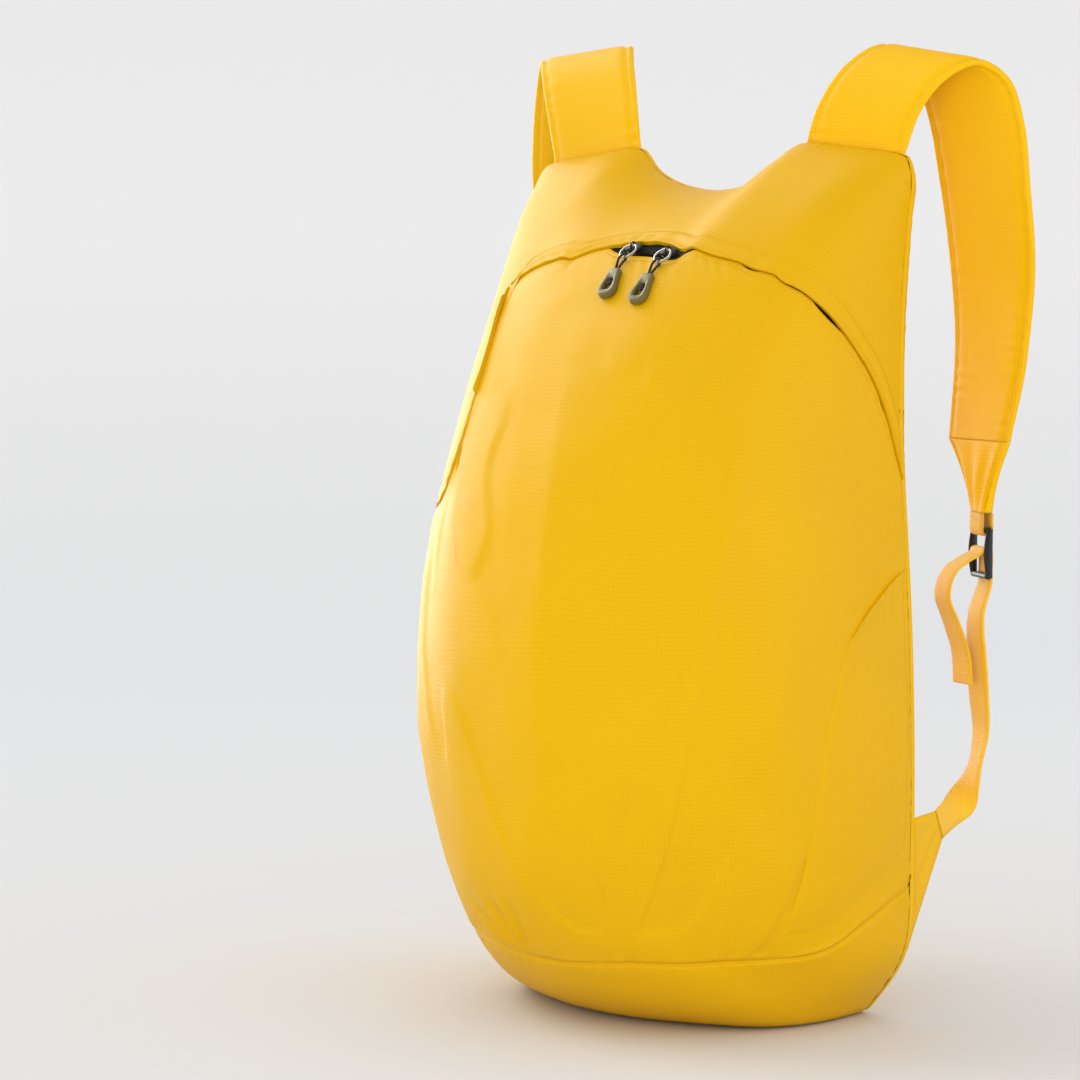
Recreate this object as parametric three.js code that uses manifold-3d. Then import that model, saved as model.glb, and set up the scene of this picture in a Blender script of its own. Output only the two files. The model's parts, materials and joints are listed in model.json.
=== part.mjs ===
// A packable backpack, made in millimetres with +Z up.
// The front of the pack faces -Y, and the straps hang behind it towards +Y.
// The origin is under the middle of the pack, on the surface that it stands on.
import * as THREE from "three";
import { mergeVertices } from "three/addons/utils/BufferGeometryUtils.js";
import Module from "manifold-3d";

const wasm = await Module();
wasm.setup();

// Driving dimensions of the stuffed bag
const PACK_HEIGHT = 430; // floor to the shoulder seams
const PACK_WIDTH = 236; // side seam to side seam across the back
const PACK_DEPTH = 167; // back panel to the fullest point of the front
const BULGE_HEIGHT = 190; // height of the fullest point above the floor
const BULGE_SPREAD = 14; // how far the full front stands out past each side seam
const FLOOR_SINK = 9; // how far the round underside is pressed flat by the floor
const FLOOR_EASE = 5; // how softly the fabric turns into that flat
const SINK_HEIGHT = 60; // height at which the pressing begins
const BACK_CROWN = 9; // how far the back panel bulges towards the wearer

// Fabric and seams
const FABRIC = 1.2; // wall of the shell panels
const BACK_FABRIC = 2.4; // wall of the back panel, a doubled layer
const SEAM_GAP = 1; // gap between two panels along a seam
const REAR_GAP = 0.4; // gap between the shell's rim and the back panel
const TOUCH_GAP = 0.35; // gap between pieces that meet
const LAY_GAP = 1.1; // gap between a curved layer and the panel that it lies on

// Zipper
const TAPE_WIDTH = 13;
const TAPE_THICKNESS = 1.2;
const TAPE_GAP = 1.5; // gap between the tape and the inside of the shell
const ZIP_MOUTH = 9.6; // how far the flap and the front stand apart at the sliders
const MOUTH_LENGTH = 55; // length of that opening along the zipper
const MOUTH_POWER = 3; // how blunt its ends are
const SLIDER_LENGTH = 9;
const SLIDER_WIDTH = 5;
const SLIDER_HEIGHT = 3.8;
const BRIDGE_LENGTH = 4.8; // staple on the slider that holds the ring
const BRIDGE_WIDTH = 1.6;
const BRIDGE_WIRE = 0.9;
const BRIDGE_ROOT = 0.2; // how deep its feet go into the slider
const RING_RADIUS = 4.4; // to the middle of the wire
const RING_WIRE = 1.2; // wire diameter
const PULL_CORD = 1.3; // diameter of the cord
const PULL_DROP = 17; // slider to the top of the moulded end
const PULL_LENGTH = 15.5;
const PULL_WIDTH = 9.6;
const PULL_THICKNESS = 3.6;
const WINDOW_WIDTH = 4.6; // opening in the moulded end, where the knot sits
const KNOT_PLACE = 0.42; // share of the moulded end's length at which the strands stop

// Outlines of the small fittings, each as its right half from end to end: down is a share of the
// length and wide a share of the width
const SLIDER_OUTLINE = [
  { down: 0, wide: 0.72 },
  { down: 0.22, wide: 1 },
  { down: 0.78, wide: 1 },
  { down: 1, wide: 0.72 },
];
const PULL_OUTLINE = [
  { down: 0, wide: 0.58 },
  { down: 0.68, wide: 1 },
  { down: 0.86, wide: 0.9 },
  { down: 1, wide: 0.5 },
];
const WINDOW_OUTLINE = [
  { down: 0.36, wide: 0.6 },
  { down: 0.48, wide: 1 },
  { down: 0.7, wide: 1 },
  { down: 0.8, wide: 0.5 },
];

// Straps
const STRAP_WIDTH = 58;
const STRAP_PAD = 5; // thickness of the strap
const STRAP_RISE = 40; // shoulder seam to the crest of the strap
const STRAP_DROP = 186; // crest down to the stitched end of the wide part
const STRAP_BACK = 70; // how far behind the back panel the strap hangs
const STRAP_LEAN = 46; // how far the strap leans out past its seam
const STRAP_END_WIDTH = 50;
const TIP_LENGTH = 36; // tapered end between the wide part and the webbing
const TIP_DRIFT = 0.05; // how far the tip leans towards the pack, as a share of its length
const TIP_SPREAD = 0.08; // how far it leans outwards, as a share of its length
const TIP_TAPER = 0.55; // share of the taper that is done halfway down
const TIP_EDGE = 1; // how far the tip's end reaches past each edge of the webbing
const WEBBING_WIDTH = 16;
const WEBBING = 1.3; // webbing thickness
const LOCK_HEIGHT = 26; // ladder lock
const LOCK_DEPTH = 5;
const LOCK_RAIL = 2.4; // width of each side rail
const LOCK_BAR = 3; // diameter of the cross bars
const LOCK_TURN = -35; // degrees that the ladder lock is turned about the vertical
const LOCK_DROP = 20; // webbing loop above the middle of the ladder lock
const LOCK_STRAIGHT = 2; // straight webbing below the ladder lock
const TAIL_LENGTH = 66; // height that the free end of the webbing hangs down
const TAIL_SWING = 18; // how far it loops out of the ladder lock, towards the pack
const WING_HEIGHT = 66; // wing of fabric along the side seam
const WING_TOP = 100; // height of its upper corner above the floor
const WING_REACH = 27; // how far its tip stands behind the back panel
const WING_SLANT = 0.45; // how much the tip's edge leans back for each unit down
const TAB_LENGTH = 30; // webbing from the wing's tip to where it turns up
const WEBBING_SWING = 7; // how far the lower webbing swings out of a straight line
const WING_FABRIC = 1.6;

// Pockets
const POCKET_INSET = 4; // side seam to the pocket's edge

// How square the shell is between its rim and its fullest point: 2 is round, more is boxier.
// direction is in degrees about the fullest point, from straight down to straight up.
const SQUARENESS = [
  { direction: -90, power: 3.0 },
  { direction: -45, power: 2.4 },
  { direction: 0, power: 2.2 },
  { direction: 50, power: 1.9 },
  { direction: 90, power: 1.62 },
];
const EGG_POWER = 2.25; // squareness of the full front as seen from the front
const EGG_TOP = 8; // how far that front egg stays below the shoulder seams
const RIM_FADE = 8; // how quickly the corners of the rim fade into the round front

// Right half of the back panel, from the middle of its foot to the middle of the neck.
// across is a share of half the width, up a share of the height.
const BACK_OUTLINE = [
  { across: 0.0, up: 0.0 },
  { across: 0.3, up: 0.0 },
  { across: 0.66, up: 0.002 },
  { across: 0.83, up: 0.035 },
  { across: 0.98, up: 0.095 },
  { across: 1.0, up: 0.19 },
  { across: 1.0, up: 0.31 },
  { across: 0.985, up: 0.44 },
  { across: 0.957, up: 0.56 },
  { across: 0.925, up: 0.68 },
  { across: 0.93, up: 0.8 },
  { across: 0.955, up: 0.9 },
  { across: 0.975, up: 0.945 },
  { across: 0.963, up: 0.972 },
  { across: 0.915, up: 0.985 },
  { across: 0.68, up: 0.994 },
  { across: 0.47, up: 1.0 },
  { across: 0.405, up: 0.995 },
  { across: 0.33, up: 0.972 },
  { across: 0.19, up: 0.955 },
  { across: 0.0, up: 0.948 },
];

// Seams on the shell. direction is in degrees about the fullest point, seen from the front,
// and reach is the share of the way over the surface from that point to the rim.
const ZIP_LINE = [
  { direction: 34, reach: 1 },
  { direction: 40, reach: 0.975 },
  { direction: 44.5, reach: 0.952 },
  { direction: 49, reach: 0.914 },
  { direction: 53.3, reach: 0.862 },
  { direction: 57, reach: 0.808 },
  { direction: 60.3, reach: 0.75 },
  { direction: 63, reach: 0.7 },
  { direction: 66.5, reach: 0.687 },
  { direction: 70.5, reach: 0.688 },
  { direction: 75, reach: 0.69 },
  { direction: 79, reach: 0.703 },
  { direction: 83, reach: 0.727 },
  { direction: 87.5, reach: 0.736 },
  { direction: 92.5, reach: 0.729 },
  { direction: 97, reach: 0.71 },
  { direction: 101.5, reach: 0.686 },
  { direction: 106, reach: 0.672 },
  { direction: 110, reach: 0.655 },
  { direction: 113.5, reach: 0.615 },
  { direction: 115.5, reach: 0.56 },
  { direction: 117.5, reach: 0.505 },
  { direction: 121, reach: 0.46 },
  { direction: 126, reach: 0.437 },
  { direction: 132, reach: 0.433 },
  { direction: 138, reach: 0.452 },
  { direction: 144.5, reach: 0.505 },
  { direction: 150.5, reach: 0.59 },
  { direction: 156, reach: 0.71 },
  { direction: 160, reach: 0.84 },
  { direction: 163, reach: 1 },
];
const SLIDER_PLACES = [
  { side: "left", direction: 89 },
  { side: "right", direction: 81.3 },
];
const MOUTH_MIDDLE = 85.6; // direction of the middle of the zipper's opening
const BOTTOM_SEAM_RIGHT = [
  { direction: -46, reach: 1.0 },
  { direction: -50, reach: 0.86 },
  { direction: -54, reach: 0.785 },
  { direction: -59, reach: 0.68 },
  { direction: -64, reach: 0.605 },
  { direction: -71, reach: 0.55 },
  { direction: -79, reach: 0.525 },
];
const BOTTOM_SEAM_MIDDLE = { direction: -90, reach: 0.52 };
const POCKET_TOP = [
  { direction: 1, reach: 0.775 },
  { direction: 8, reach: 0.85 },
  { direction: 16, reach: 0.985 },
];
const POCKET_FRONT = [
  { direction: 1, reach: 0.775 },
  { direction: -14, reach: 0.725 },
  { direction: -32, reach: 0.7 },
  { direction: -45, reach: 0.7 },
  { direction: -55, reach: 0.685 },
];
const POCKET_BOTTOM = [
  { direction: -55, reach: 0.685 },
  { direction: -52, reach: 0.76 },
  { direction: -48, reach: 0.86 },
  { direction: -44, reach: 0.985 },
];

// The middle line of a strap. lean, back, rise, drop and wide are shares of the named sizes,
// turn is the strap's yaw and tilt its roll, both in degrees.
const STRAP_LINE = [
  { lean: 0.0, back: 0.01, rise: 0.0, drop: 0.0, wide: 1.0, pad: 0.6, turn: 0, tilt: -7 },
  { lean: 0.12, back: 0.05, rise: 0.42, drop: 0.0, wide: 1.0, pad: 0.9, turn: 2, tilt: -6 },
  { lean: 0.34, back: 0.17, rise: 0.82, drop: 0.0, wide: 1.0, pad: 1.0, turn: 4, tilt: -8 },
  { lean: 0.58, back: 0.35, rise: 1.0, drop: 0.0, wide: 1.0, pad: 1.0, turn: 3, tilt: -10 },
  { lean: 0.79, back: 0.49, rise: 1.0, drop: 0.045, wide: 1.0, pad: 1.0, turn: 0, tilt: -8 },
  { lean: 0.93, back: 0.57, rise: 1.0, drop: 0.16, wide: 1.0, pad: 1.0, turn: -6, tilt: -4 },
  { lean: 1.0, back: 0.63, rise: 1.0, drop: 0.33, wide: 1.0, pad: 1.0, turn: -10, tilt: 0 },
  { lean: 0.99, back: 0.76, rise: 1.0, drop: 0.57, wide: 0.8, pad: 1.0, turn: -13, tilt: 0 },
  { lean: 0.84, back: 0.89, rise: 1.0, drop: 0.79, wide: 0.4, pad: 1.0, turn: -17, tilt: 0 },
  { lean: 0.63, back: 0.98, rise: 1.0, drop: 1.0, wide: 0.0, pad: 0.9, turn: -21, tilt: 0 },
];
const STRAP_SEAM = { across: 0.69, up: 0.996 }; // middle of the strap's seam on the outline
// The webbing behind the wing's tip: along is a share of the tab, turn the yaw in degrees, and
// tilt a share of the lean that lays the webbing along the wing's edge
const TAB_LINE = [
  { along: 0, turn: 90, tilt: 1 },
  { along: 0.4, turn: 70, tilt: 0.9 },
  { along: 0.75, turn: 20, tilt: 0.6 },
];
const TAB_END = { turn: -20, tilt: 0.25 };
// The webbing from its turn at the wing up to the ladder lock: up is the share of the height
// between them, swing a share of the webbing's swing behind the straight line between them
const WEBBING_LINE = [
  { up: 0.1, swing: 0.6, turn: -36 },
  { up: 0.26, swing: 1.0, turn: -30 },
  { up: 0.43, swing: 0.4, turn: -22 },
  { up: 0.62, swing: -0.3, turn: -22 },
  { up: 0.84, swing: -0.9, turn: -30 },
];
// The free end below the ladder lock: down is a share of its length, swing one of its swing
const TAIL_LINE = [
  { down: 0.05, swing: 0.36, turn: -35 },
  { down: 0.14, swing: 0.8, turn: -33 },
  { down: 0.32, swing: 1.0, turn: -30 },
  { down: 0.52, swing: 0.74, turn: -27 },
  { down: 0.76, swing: 0.44, turn: -24 },
  { down: 1.0, swing: 0.36, turn: -22 },
];

// Mesh steps
const OUTLINE_STEPS = 6; // points added per span of the outline
const MERIDIAN_STEPS = 64; // steps along a line from the fullest point to the rim
const SEAM_COLUMNS = 32; // columns of the panels along a seam, alike on both sides of it
const MOUTH_COLUMNS = 8; // columns across the zipper's mouth
const TAPE_LEFT_OUT = 2; // columns that the zipper's tape stops short of each end of its seam
const FRONT_ROWS = 20;
const YOKE_ROWS = 5;
const BOTTOM_ROWS = 7;
const BACK_STEPS = 15; // rows and columns of the back panel
const POCKET_COLUMNS = 8;
const POCKET_ROWS = 12;
const SLOPE_STEP = 0.004; // step for measuring the slope of the shell
const PADDED_SECTION = [
  [-1, 0],
  [-0.86, -0.75],
  [-0.4, -1],
  [0.4, -1],
  [0.86, -0.75],
  [1, 0],
  [0.86, 0.75],
  [0.4, 1],
  [-0.4, 1],
  [-0.86, 0.75],
];
const STRAP_STATIONS = 26;
const TIP_STATIONS = 5;
const LOOP_STATIONS = 20;
const WEBBING_STATIONS = 63;
const RING_SIDES = 6;
const RING_STEPS = 16;
const BAR_SIDES = 10;
const CORD_STEPS = 22;
const WING_STEPS = 4;
const FLAT_SECTION = [
  [-1, -1],
  [1, -1],
  [1, 1],
  [-1, 1],
];

// Materials
const YELLOW = 0xf0c306;
const FINISHES = {
  fabric: { color: YELLOW, roughness: 0.62, metalness: 0 },
  strap: { color: YELLOW, roughness: 0.68, metalness: 0 },
  webbing: { color: 0xe6bb0c, roughness: 0.75, metalness: 0 },
  tape: { color: 0x17150f, roughness: 0.8, metalness: 0 },
  slider: { color: 0x2a2a26, roughness: 0.4, metalness: 0.6 },
  ring: { color: 0xb9b8b2, roughness: 0.3, metalness: 0.9 },
  cord: { color: 0x1b1410, roughness: 0.8, metalness: 0 },
  moulding: { color: 0x6b6433, roughness: 0.5, metalness: 0 },
  buckle: { color: 0x121212, roughness: 0.45, metalness: 0 },
};

const pack = new THREE.Group();

function addPiece(name, geometry, finish) {
  const material = new THREE.MeshStandardMaterial(FINISHES[finish]);
  const piece = new THREE.Mesh(geometry, material);
  piece.name = name;
  pack.add(piece);
}

const radians = THREE.MathUtils.degToRad;

// A row's column at a place among the rows, eased between its two neighbours
function easedColumn(rows, key, column, place) {
  const last = rows.length - 1;
  let row = 0;
  while (row < last - 1 && place > rows[row + 1][key]) row += 1;
  const span = rows[row + 1][key] - rows[row][key];
  const share = THREE.MathUtils.clamp((place - rows[row][key]) / span, 0, 1);
  const eased = THREE.MathUtils.smoothstep(share, 0, 1);
  return THREE.MathUtils.lerp(rows[row][column], rows[row + 1][column], eased);
}

// The closed outline of the back panel, in the plane of the back
function outlineCurve() {
  const half = BACK_OUTLINE.map(({ across, up }) => ({
    x: (across * PACK_WIDTH) / 2,
    z: up * PACK_HEIGHT,
  }));
  const mirrored = half.slice(1, -1).reverse();
  const points = [
    ...half.map(({ x, z }) => new THREE.Vector3(x, 0, z)),
    ...mirrored.map(({ x, z }) => new THREE.Vector3(-x, 0, z)),
  ];
  return new THREE.CatmullRomCurve3(points, true, "catmullrom", 0.5);
}

// The foot of the outline is pressed down into the floor, and flattened later
function sunk(z) {
  return z - FLOOR_SINK * THREE.MathUtils.clamp(1 - z / SINK_HEIGHT, 0, 1);
}

// Samples of the outline, each with its direction from the fullest point, counted upwards
const outline = (() => {
  const curve = outlineCurve();
  const count = curve.points.length * OUTLINE_STEPS;
  const samples = [];
  let length = 0;
  for (let i = 0; i <= count; i += 1) {
    const point = curve.getPoint(i / count);
    point.z = sunk(point.z);
    const direction = Math.atan2(point.z - BULGE_HEIGHT, point.x);
    const before = samples[i - 1];
    const turned = before && direction < before.direction - 1 ? direction + 2 * Math.PI : direction;
    length += before ? before.point.distanceTo(point) : 0;
    const radius = Math.hypot(point.x, point.z - BULGE_HEIGHT);
    samples.push({ point, length, direction: turned, radius });
  }
  return samples;
})();

// One value of the outline's samples, read at a given direction or length along it
function outlineAt(key, place, column) {
  let low = 0;
  let high = outline.length - 1;
  while (high - low > 1) {
    const middle = (low + high) >> 1;
    if (outline[middle][key] <= place) low = middle;
    else high = middle;
  }
  const span = outline[high][key] - outline[low][key];
  const share = (place - outline[low][key]) / span;
  return THREE.MathUtils.lerp(outline[low][column], outline[high][column], share);
}

// Brings a direction into the turn that the outline's samples cover
function wrapped(direction) {
  const start = outline[0].direction;
  const turn = 2 * Math.PI;
  return start + THREE.MathUtils.euclideanModulo(direction - start, turn);
}

function rimRadius(direction) {
  return outlineAt("direction", wrapped(direction), "radius");
}

// Radius of the round front, seen from the front
function eggRadius(direction) {
  const side = Math.abs(Math.cos(direction)) / (PACK_WIDTH / 2 + BULGE_SPREAD);
  const rise = Math.sin(direction);
  const height = rise > 0 ? PACK_HEIGHT - BULGE_HEIGHT - EGG_TOP : BULGE_HEIGHT + FLOOR_SINK;
  return (side ** EGG_POWER + (Math.abs(rise) / height) ** EGG_POWER) ** (-1 / EGG_POWER);
}

// A point of the shell before the floor flattens it: angle runs from 0 at the rim to a right
// angle at the fullest point
function domePoint(direction, angle, power, egg, rim) {
  const out = Math.max(Math.cos(angle), 1e-9) ** (2 / power);
  const forward = Math.max(Math.sin(angle), 1e-9) ** (2 / power);
  const hold = out ** RIM_FADE;
  const radius = (egg * (1 - hold) + rim * hold) * out;
  return new THREE.Vector3(
    radius * Math.cos(direction),
    -PACK_DEPTH * forward,
    BULGE_HEIGHT + radius * Math.sin(direction),
  );
}

// The floor presses the underside flat, with a soft turn
function flattened(z) {
  if (z >= FLOOR_EASE) return z;
  if (z <= -FLOOR_EASE) return 0;
  return (z + FLOOR_EASE) ** 2 / (4 * FLOOR_EASE);
}

// The line over the shell from the fullest point to the rim in one direction
function meridian(direction) {
  const slant = (Math.asin(Math.sin(direction)) * 180) / Math.PI;
  const power = easedColumn(SQUARENESS, "direction", "power", slant);
  const egg = eggRadius(direction);
  const rim = rimRadius(direction);
  const at = (angle) => domePoint(direction, angle, power, egg, rim);
  const angles = [];
  const lengths = [];
  let before = null;
  for (let i = 0; i <= MERIDIAN_STEPS; i += 1) {
    const angle = ((Math.PI / 2) * (1 + Math.cos((Math.PI * i) / MERIDIAN_STEPS))) / 2;
    const point = at(angle);
    angles.push(angle);
    lengths.push(before ? lengths[i - 1] + before.distanceTo(point) : 0);
    before = point;
  }
  const length = lengths[MERIDIAN_STEPS];
  const pointAt = (reach) => {
    const wanted = reach * length;
    let step = 0;
    while (step < MERIDIAN_STEPS - 1 && lengths[step + 1] < wanted) step += 1;
    const share = (wanted - lengths[step]) / (lengths[step + 1] - lengths[step]);
    const point = at(THREE.MathUtils.lerp(angles[step], angles[step + 1], share));
    point.z = flattened(point.z);
    return point;
  };
  return { length, pointAt };
}

// A place on the shell is a flat vector: its direction and reach are the vector's polar form
function place(direction, reach) {
  const angle = radians(direction);
  return new THREE.Vector2(reach * Math.cos(angle), reach * Math.sin(angle));
}

function shellPoint(spot) {
  return meridian(spot.angle()).pointAt(spot.length());
}

// The shell's outward normal at a place
function shellNormal(spot) {
  const inner = spot.clone();
  inner.clampLength(0, 1 - 2 * SLOPE_STEP);
  const move = (x, y) => shellPoint(inner.clone().add(new THREE.Vector2(x, y)));
  const across = move(SLOPE_STEP, 0).sub(move(-SLOPE_STEP, 0));
  const up = move(0, SLOPE_STEP).sub(move(0, -SLOPE_STEP));
  return across.cross(up).normalize();
}

// How many flat units make a millimetre near a place
function perMillimetre(spot) {
  return 1 / meridian(spot.angle()).length;
}

// A smooth line over the shell through a table's rows
function shellLine(rows) {
  const points = rows.map(({ direction, reach }) => {
    const spot = place(direction, reach);
    return new THREE.Vector3(spot.x, spot.y, 0);
  });
  const curve = new THREE.CatmullRomCurve3(points, false, "centripetal");
  curve.arcLengthDivisions = 400;
  return (share) => {
    const point = curve.getPointAt(THREE.MathUtils.clamp(share, 0, 1));
    return new THREE.Vector2(point.x, point.y);
  };
}

// The same line moved sideways by a distance in millimetres, positive towards its right hand
// as seen from inside the bag, which is upwards where a line runs to the left, and kept inside
// the rim
function besideLine(line, distance) {
  return (share) => {
    const step = 0.002;
    const spot = line(share);
    const along = line(Math.min(share + step, 1)).sub(line(Math.max(share - step, 0)));
    const side = new THREE.Vector2(along.y, -along.x).normalize();
    const millimetres = typeof distance === "function" ? distance(share) : distance;
    spot.addScaledVector(side, millimetres * perMillimetre(spot));
    return spot.clampLength(0, rimReach(spot));
  };
}

// The reach of the last line before the rim
function rimReach(spot) {
  return 1 - REAR_GAP / 2 / meridian(spot.angle()).length;
}

// A stretch of the rim between two directions, in even steps along the outline
function rimLine(from, to) {
  const start = wrapped(from);
  const turn = 2 * Math.PI;
  let end = wrapped(to);
  if (to > from && end < start) end += turn;
  if (to < from && end > start) end -= turn;
  const whole = outline[outline.length - 1].length;
  const lengthAt = (direction) => {
    const turns = Math.floor((direction - outline[0].direction) / turn);
    return outlineAt("direction", direction - turns * turn, "length") + turns * whole;
  };
  const startLength = lengthAt(start);
  const endLength = lengthAt(end);
  return (share) => {
    const length = THREE.MathUtils.lerp(startLength, endLength, share);
    const direction = outlineAt("length", THREE.MathUtils.euclideanModulo(length, whole), "direction");
    const spot = new THREE.Vector2(Math.cos(direction), Math.sin(direction));
    return spot.multiplyScalar(rimReach(spot));
  };
}

// A patch of the shell between four lines that share their corners
function patch(foot, head, left, right) {
  const cornerPart = (u, v) => {
    const low = foot(0).multiplyScalar((1 - u) * (1 - v)).addScaledVector(foot(1), u * (1 - v));
    return low.addScaledVector(head(0), (1 - u) * v).addScaledVector(head(1), u * v);
  };
  return (u, v) => {
    const rows = foot(u).multiplyScalar(1 - v).addScaledVector(head(u), v);
    const columns = left(v).multiplyScalar(1 - u).addScaledVector(right(v), u);
    return rows.add(columns).sub(cornerPart(u, v));
  };
}

// A closed wall between two grids of points with the same rows and columns
function wall(front, rear) {
  const rows = front.length;
  const columns = front[0].length;
  const points = [...front.flat(), ...rear.flat()];
  const second = rows * columns;
  const faces = [];
  const quad = (a, b, c, d) => faces.push(a, b, c, a, c, d);
  for (let i = 0; i < rows - 1; i += 1) {
    for (let j = 0; j < columns - 1; j += 1) {
      const a = i * columns + j;
      quad(a, a + columns, a + columns + 1, a + 1);
      quad(second + a, second + a + 1, second + a + columns + 1, second + a + columns);
    }
  }
  const rim = [];
  for (let j = 0; j < columns - 1; j += 1) rim.push(j);
  for (let i = 0; i < rows - 1; i += 1) rim.push(i * columns + columns - 1);
  for (let j = columns - 1; j > 0; j -= 1) rim.push((rows - 1) * columns + j);
  for (let i = rows - 1; i > 0; i -= 1) rim.push(i * columns);
  rim.forEach((a, k) => {
    const b = rim[(k + 1) % rim.length];
    quad(a, b, second + b, second + a);
  });
  return facing(points, faces);
}

// A geometry from points and faces, turned so that its faces point out
function facing(points, faces) {
  let volume = 0;
  for (let i = 0; i < faces.length; i += 3) {
    const [a, b, c] = [points[faces[i]], points[faces[i + 1]], points[faces[i + 2]]];
    volume += a.dot(b.clone().cross(c));
  }
  const ordered = volume < 0 ? faces.slice().reverse() : faces;
  const geometry = new THREE.BufferGeometry();
  const numbers = points.flatMap((point) => point.toArray());
  geometry.setAttribute("position", new THREE.Float32BufferAttribute(numbers, 3));
  geometry.setIndex(ordered);
  return geometry;
}

// Even shares from 0 to 1
function evenShares(count) {
  return Array.from({ length: count + 1 }, (_, i) => i / count);
}

// A layer of fabric over a patch, between two heights above the shell's outer face
function layer(area, columns, rows, outer, inner) {
  const front = [];
  const rear = [];
  for (const v of evenShares(rows)) {
    const spots = columns.map((u) => area(u, v));
    const points = spots.map(shellPoint);
    const normals = spots.map(shellNormal);
    front.push(points.map((point, j) => point.clone().addScaledVector(normals[j], outer)));
    rear.push(points.map((point, j) => point.clone().addScaledVector(normals[j], inner)));
  }
  return wall(front, rear);
}

// The seams that part the shell into panels
const zipLine = shellLine(ZIP_LINE);
const bottomSeam = shellLine([
  ...BOTTOM_SEAM_RIGHT,
  BOTTOM_SEAM_MIDDLE,
  ...BOTTOM_SEAM_RIGHT.slice()
    .reverse()
    .map(({ direction, reach }) => ({ direction: -180 - direction, reach })),
]);

// The share of a line at which it passes a direction, counted in degrees
function shareAt(line, direction) {
  const goal = place(direction, 1);
  const steps = 2000;
  let best = { share: 0, miss: Infinity };
  for (let i = 0; i <= steps; i += 1) {
    const miss = line(i / steps).normalize().distanceTo(goal);
    if (miss < best.miss) best = { share: i / steps, miss };
  }
  return best.share;
}

// The length of a line over the shell
function lengthOver(line) {
  const steps = 80;
  let length = 0;
  let before = shellPoint(line(0));
  for (let i = 1; i <= steps; i += 1) {
    const point = shellPoint(line(i / steps));
    length += before.distanceTo(point);
    before = point;
  }
  return length;
}

// The zipper's mouth: the front's edge drops away from the flap where the sliders meet
const mouthShare = shareAt(zipLine, MOUTH_MIDDLE);
const mouthHalf = MOUTH_LENGTH / 2 / lengthOver(zipLine);
function mouthDrop(share) {
  const offset = Math.min(Math.abs(share - mouthShare) / mouthHalf, 1);
  return ZIP_MOUTH * (1 - offset ** MOUTH_POWER);
}

// The columns of the panels along a seam, closer together at the mouth. The panels and the
// tape all use them, so that their facets match.
const seamShares = (() => {
  const from = mouthShare - mouthHalf;
  const to = mouthShare + mouthHalf;
  const before = Math.round(SEAM_COLUMNS * from);
  const after = Math.round(SEAM_COLUMNS * (1 - to));
  return [
    ...evenShares(before).map((share) => share * from),
    ...evenShares(MOUTH_COLUMNS).slice(1, -1).map((share) => THREE.MathUtils.lerp(from, to, share)),
    ...evenShares(after).map((share) => THREE.MathUtils.lerp(to, 1, share)),
  ];
})();

// The part of the seam's columns that is left when some are left out at each end, as shares of
// that stretch, and the stretch itself
function innerColumns(leftOut) {
  const kept = seamShares.slice(leftOut, seamShares.length - leftOut);
  const first = kept[0];
  const last = kept[kept.length - 1];
  return { first, last, columns: kept.map((share) => (share - first) / (last - first)) };
}
const flapEdge = besideLine(zipLine, SEAM_GAP / 2);
const frontEdge = besideLine(zipLine, (share) => -SEAM_GAP / 2 - mouthDrop(share));
const frontFoot = besideLine(bottomSeam, SEAM_GAP / 2);
const bottomEdge = besideLine(bottomSeam, -SEAM_GAP / 2);

// A panel between a seam line and the rim. It leaves out the first and last column of the
// panel across the seam, where it would taper to nothing.
function marginPanel(line, rows) {
  const { first, last, columns } = innerColumns(1);
  const inner = (u) => line(THREE.MathUtils.lerp(first, last, u));
  const outer = rimLine(inner(0).angle(), inner(1).angle());
  const side = (end) => (v) => inner(end).multiplyScalar(1 - v).addScaledVector(outer(end), v);
  return layer(patch(inner, outer, side(0), side(1)), columns, rows, 0, -FABRIC);
}

// Shell panels. The seam lines run from the right side to the left side.
const frontSide = (end) => {
  const low = frontFoot(end).angle();
  const high = frontEdge(end).angle();
  return end === 0 ? rimLine(low - 2 * Math.PI, high) : rimLine(low, high);
};
const frontArea = patch(frontFoot, frontEdge, frontSide(0), frontSide(1));
addPiece("front_panel", layer(frontArea, seamShares, FRONT_ROWS, 0, -FABRIC), "fabric");
addPiece("yoke", marginPanel(flapEdge, YOKE_ROWS), "fabric");
addPiece("bottom_panel", marginPanel(bottomEdge, BOTTOM_ROWS), "fabric");

// The back panel: a crowned plate with the outline of the rim
function backPoint(spot, rise) {
  const direction = spot.angle();
  const reach = spot.length();
  const radius = rimRadius(direction) * reach;
  const crown = BACK_CROWN * (1 - reach ** 2);
  return new THREE.Vector3(
    radius * Math.cos(direction),
    REAR_GAP / 2 + crown + rise,
    flattened(BULGE_HEIGHT + radius * Math.sin(direction)),
  );
}
function backPanel() {
  const corners = [-135, -45, 45, 135].map(radians);
  const arc = (from, to) => {
    const line = rimLine(from, to);
    return (share) => line(share).normalize();
  };
  const [footLeft, footRight, headRight, headLeft] = corners;
  const area = patch(
    arc(footLeft, footRight),
    arc(headLeft, headRight),
    arc(footLeft, headLeft - 2 * Math.PI),
    arc(footRight, headRight),
  );
  const face = (rise) =>
    evenShares(BACK_STEPS).map((v) => evenShares(BACK_STEPS).map((u) => backPoint(area(u, v), rise)));
  return wall(face(BACK_FABRIC), face(0));
}
addPiece("back_panel", backPanel(), "fabric");

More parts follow.
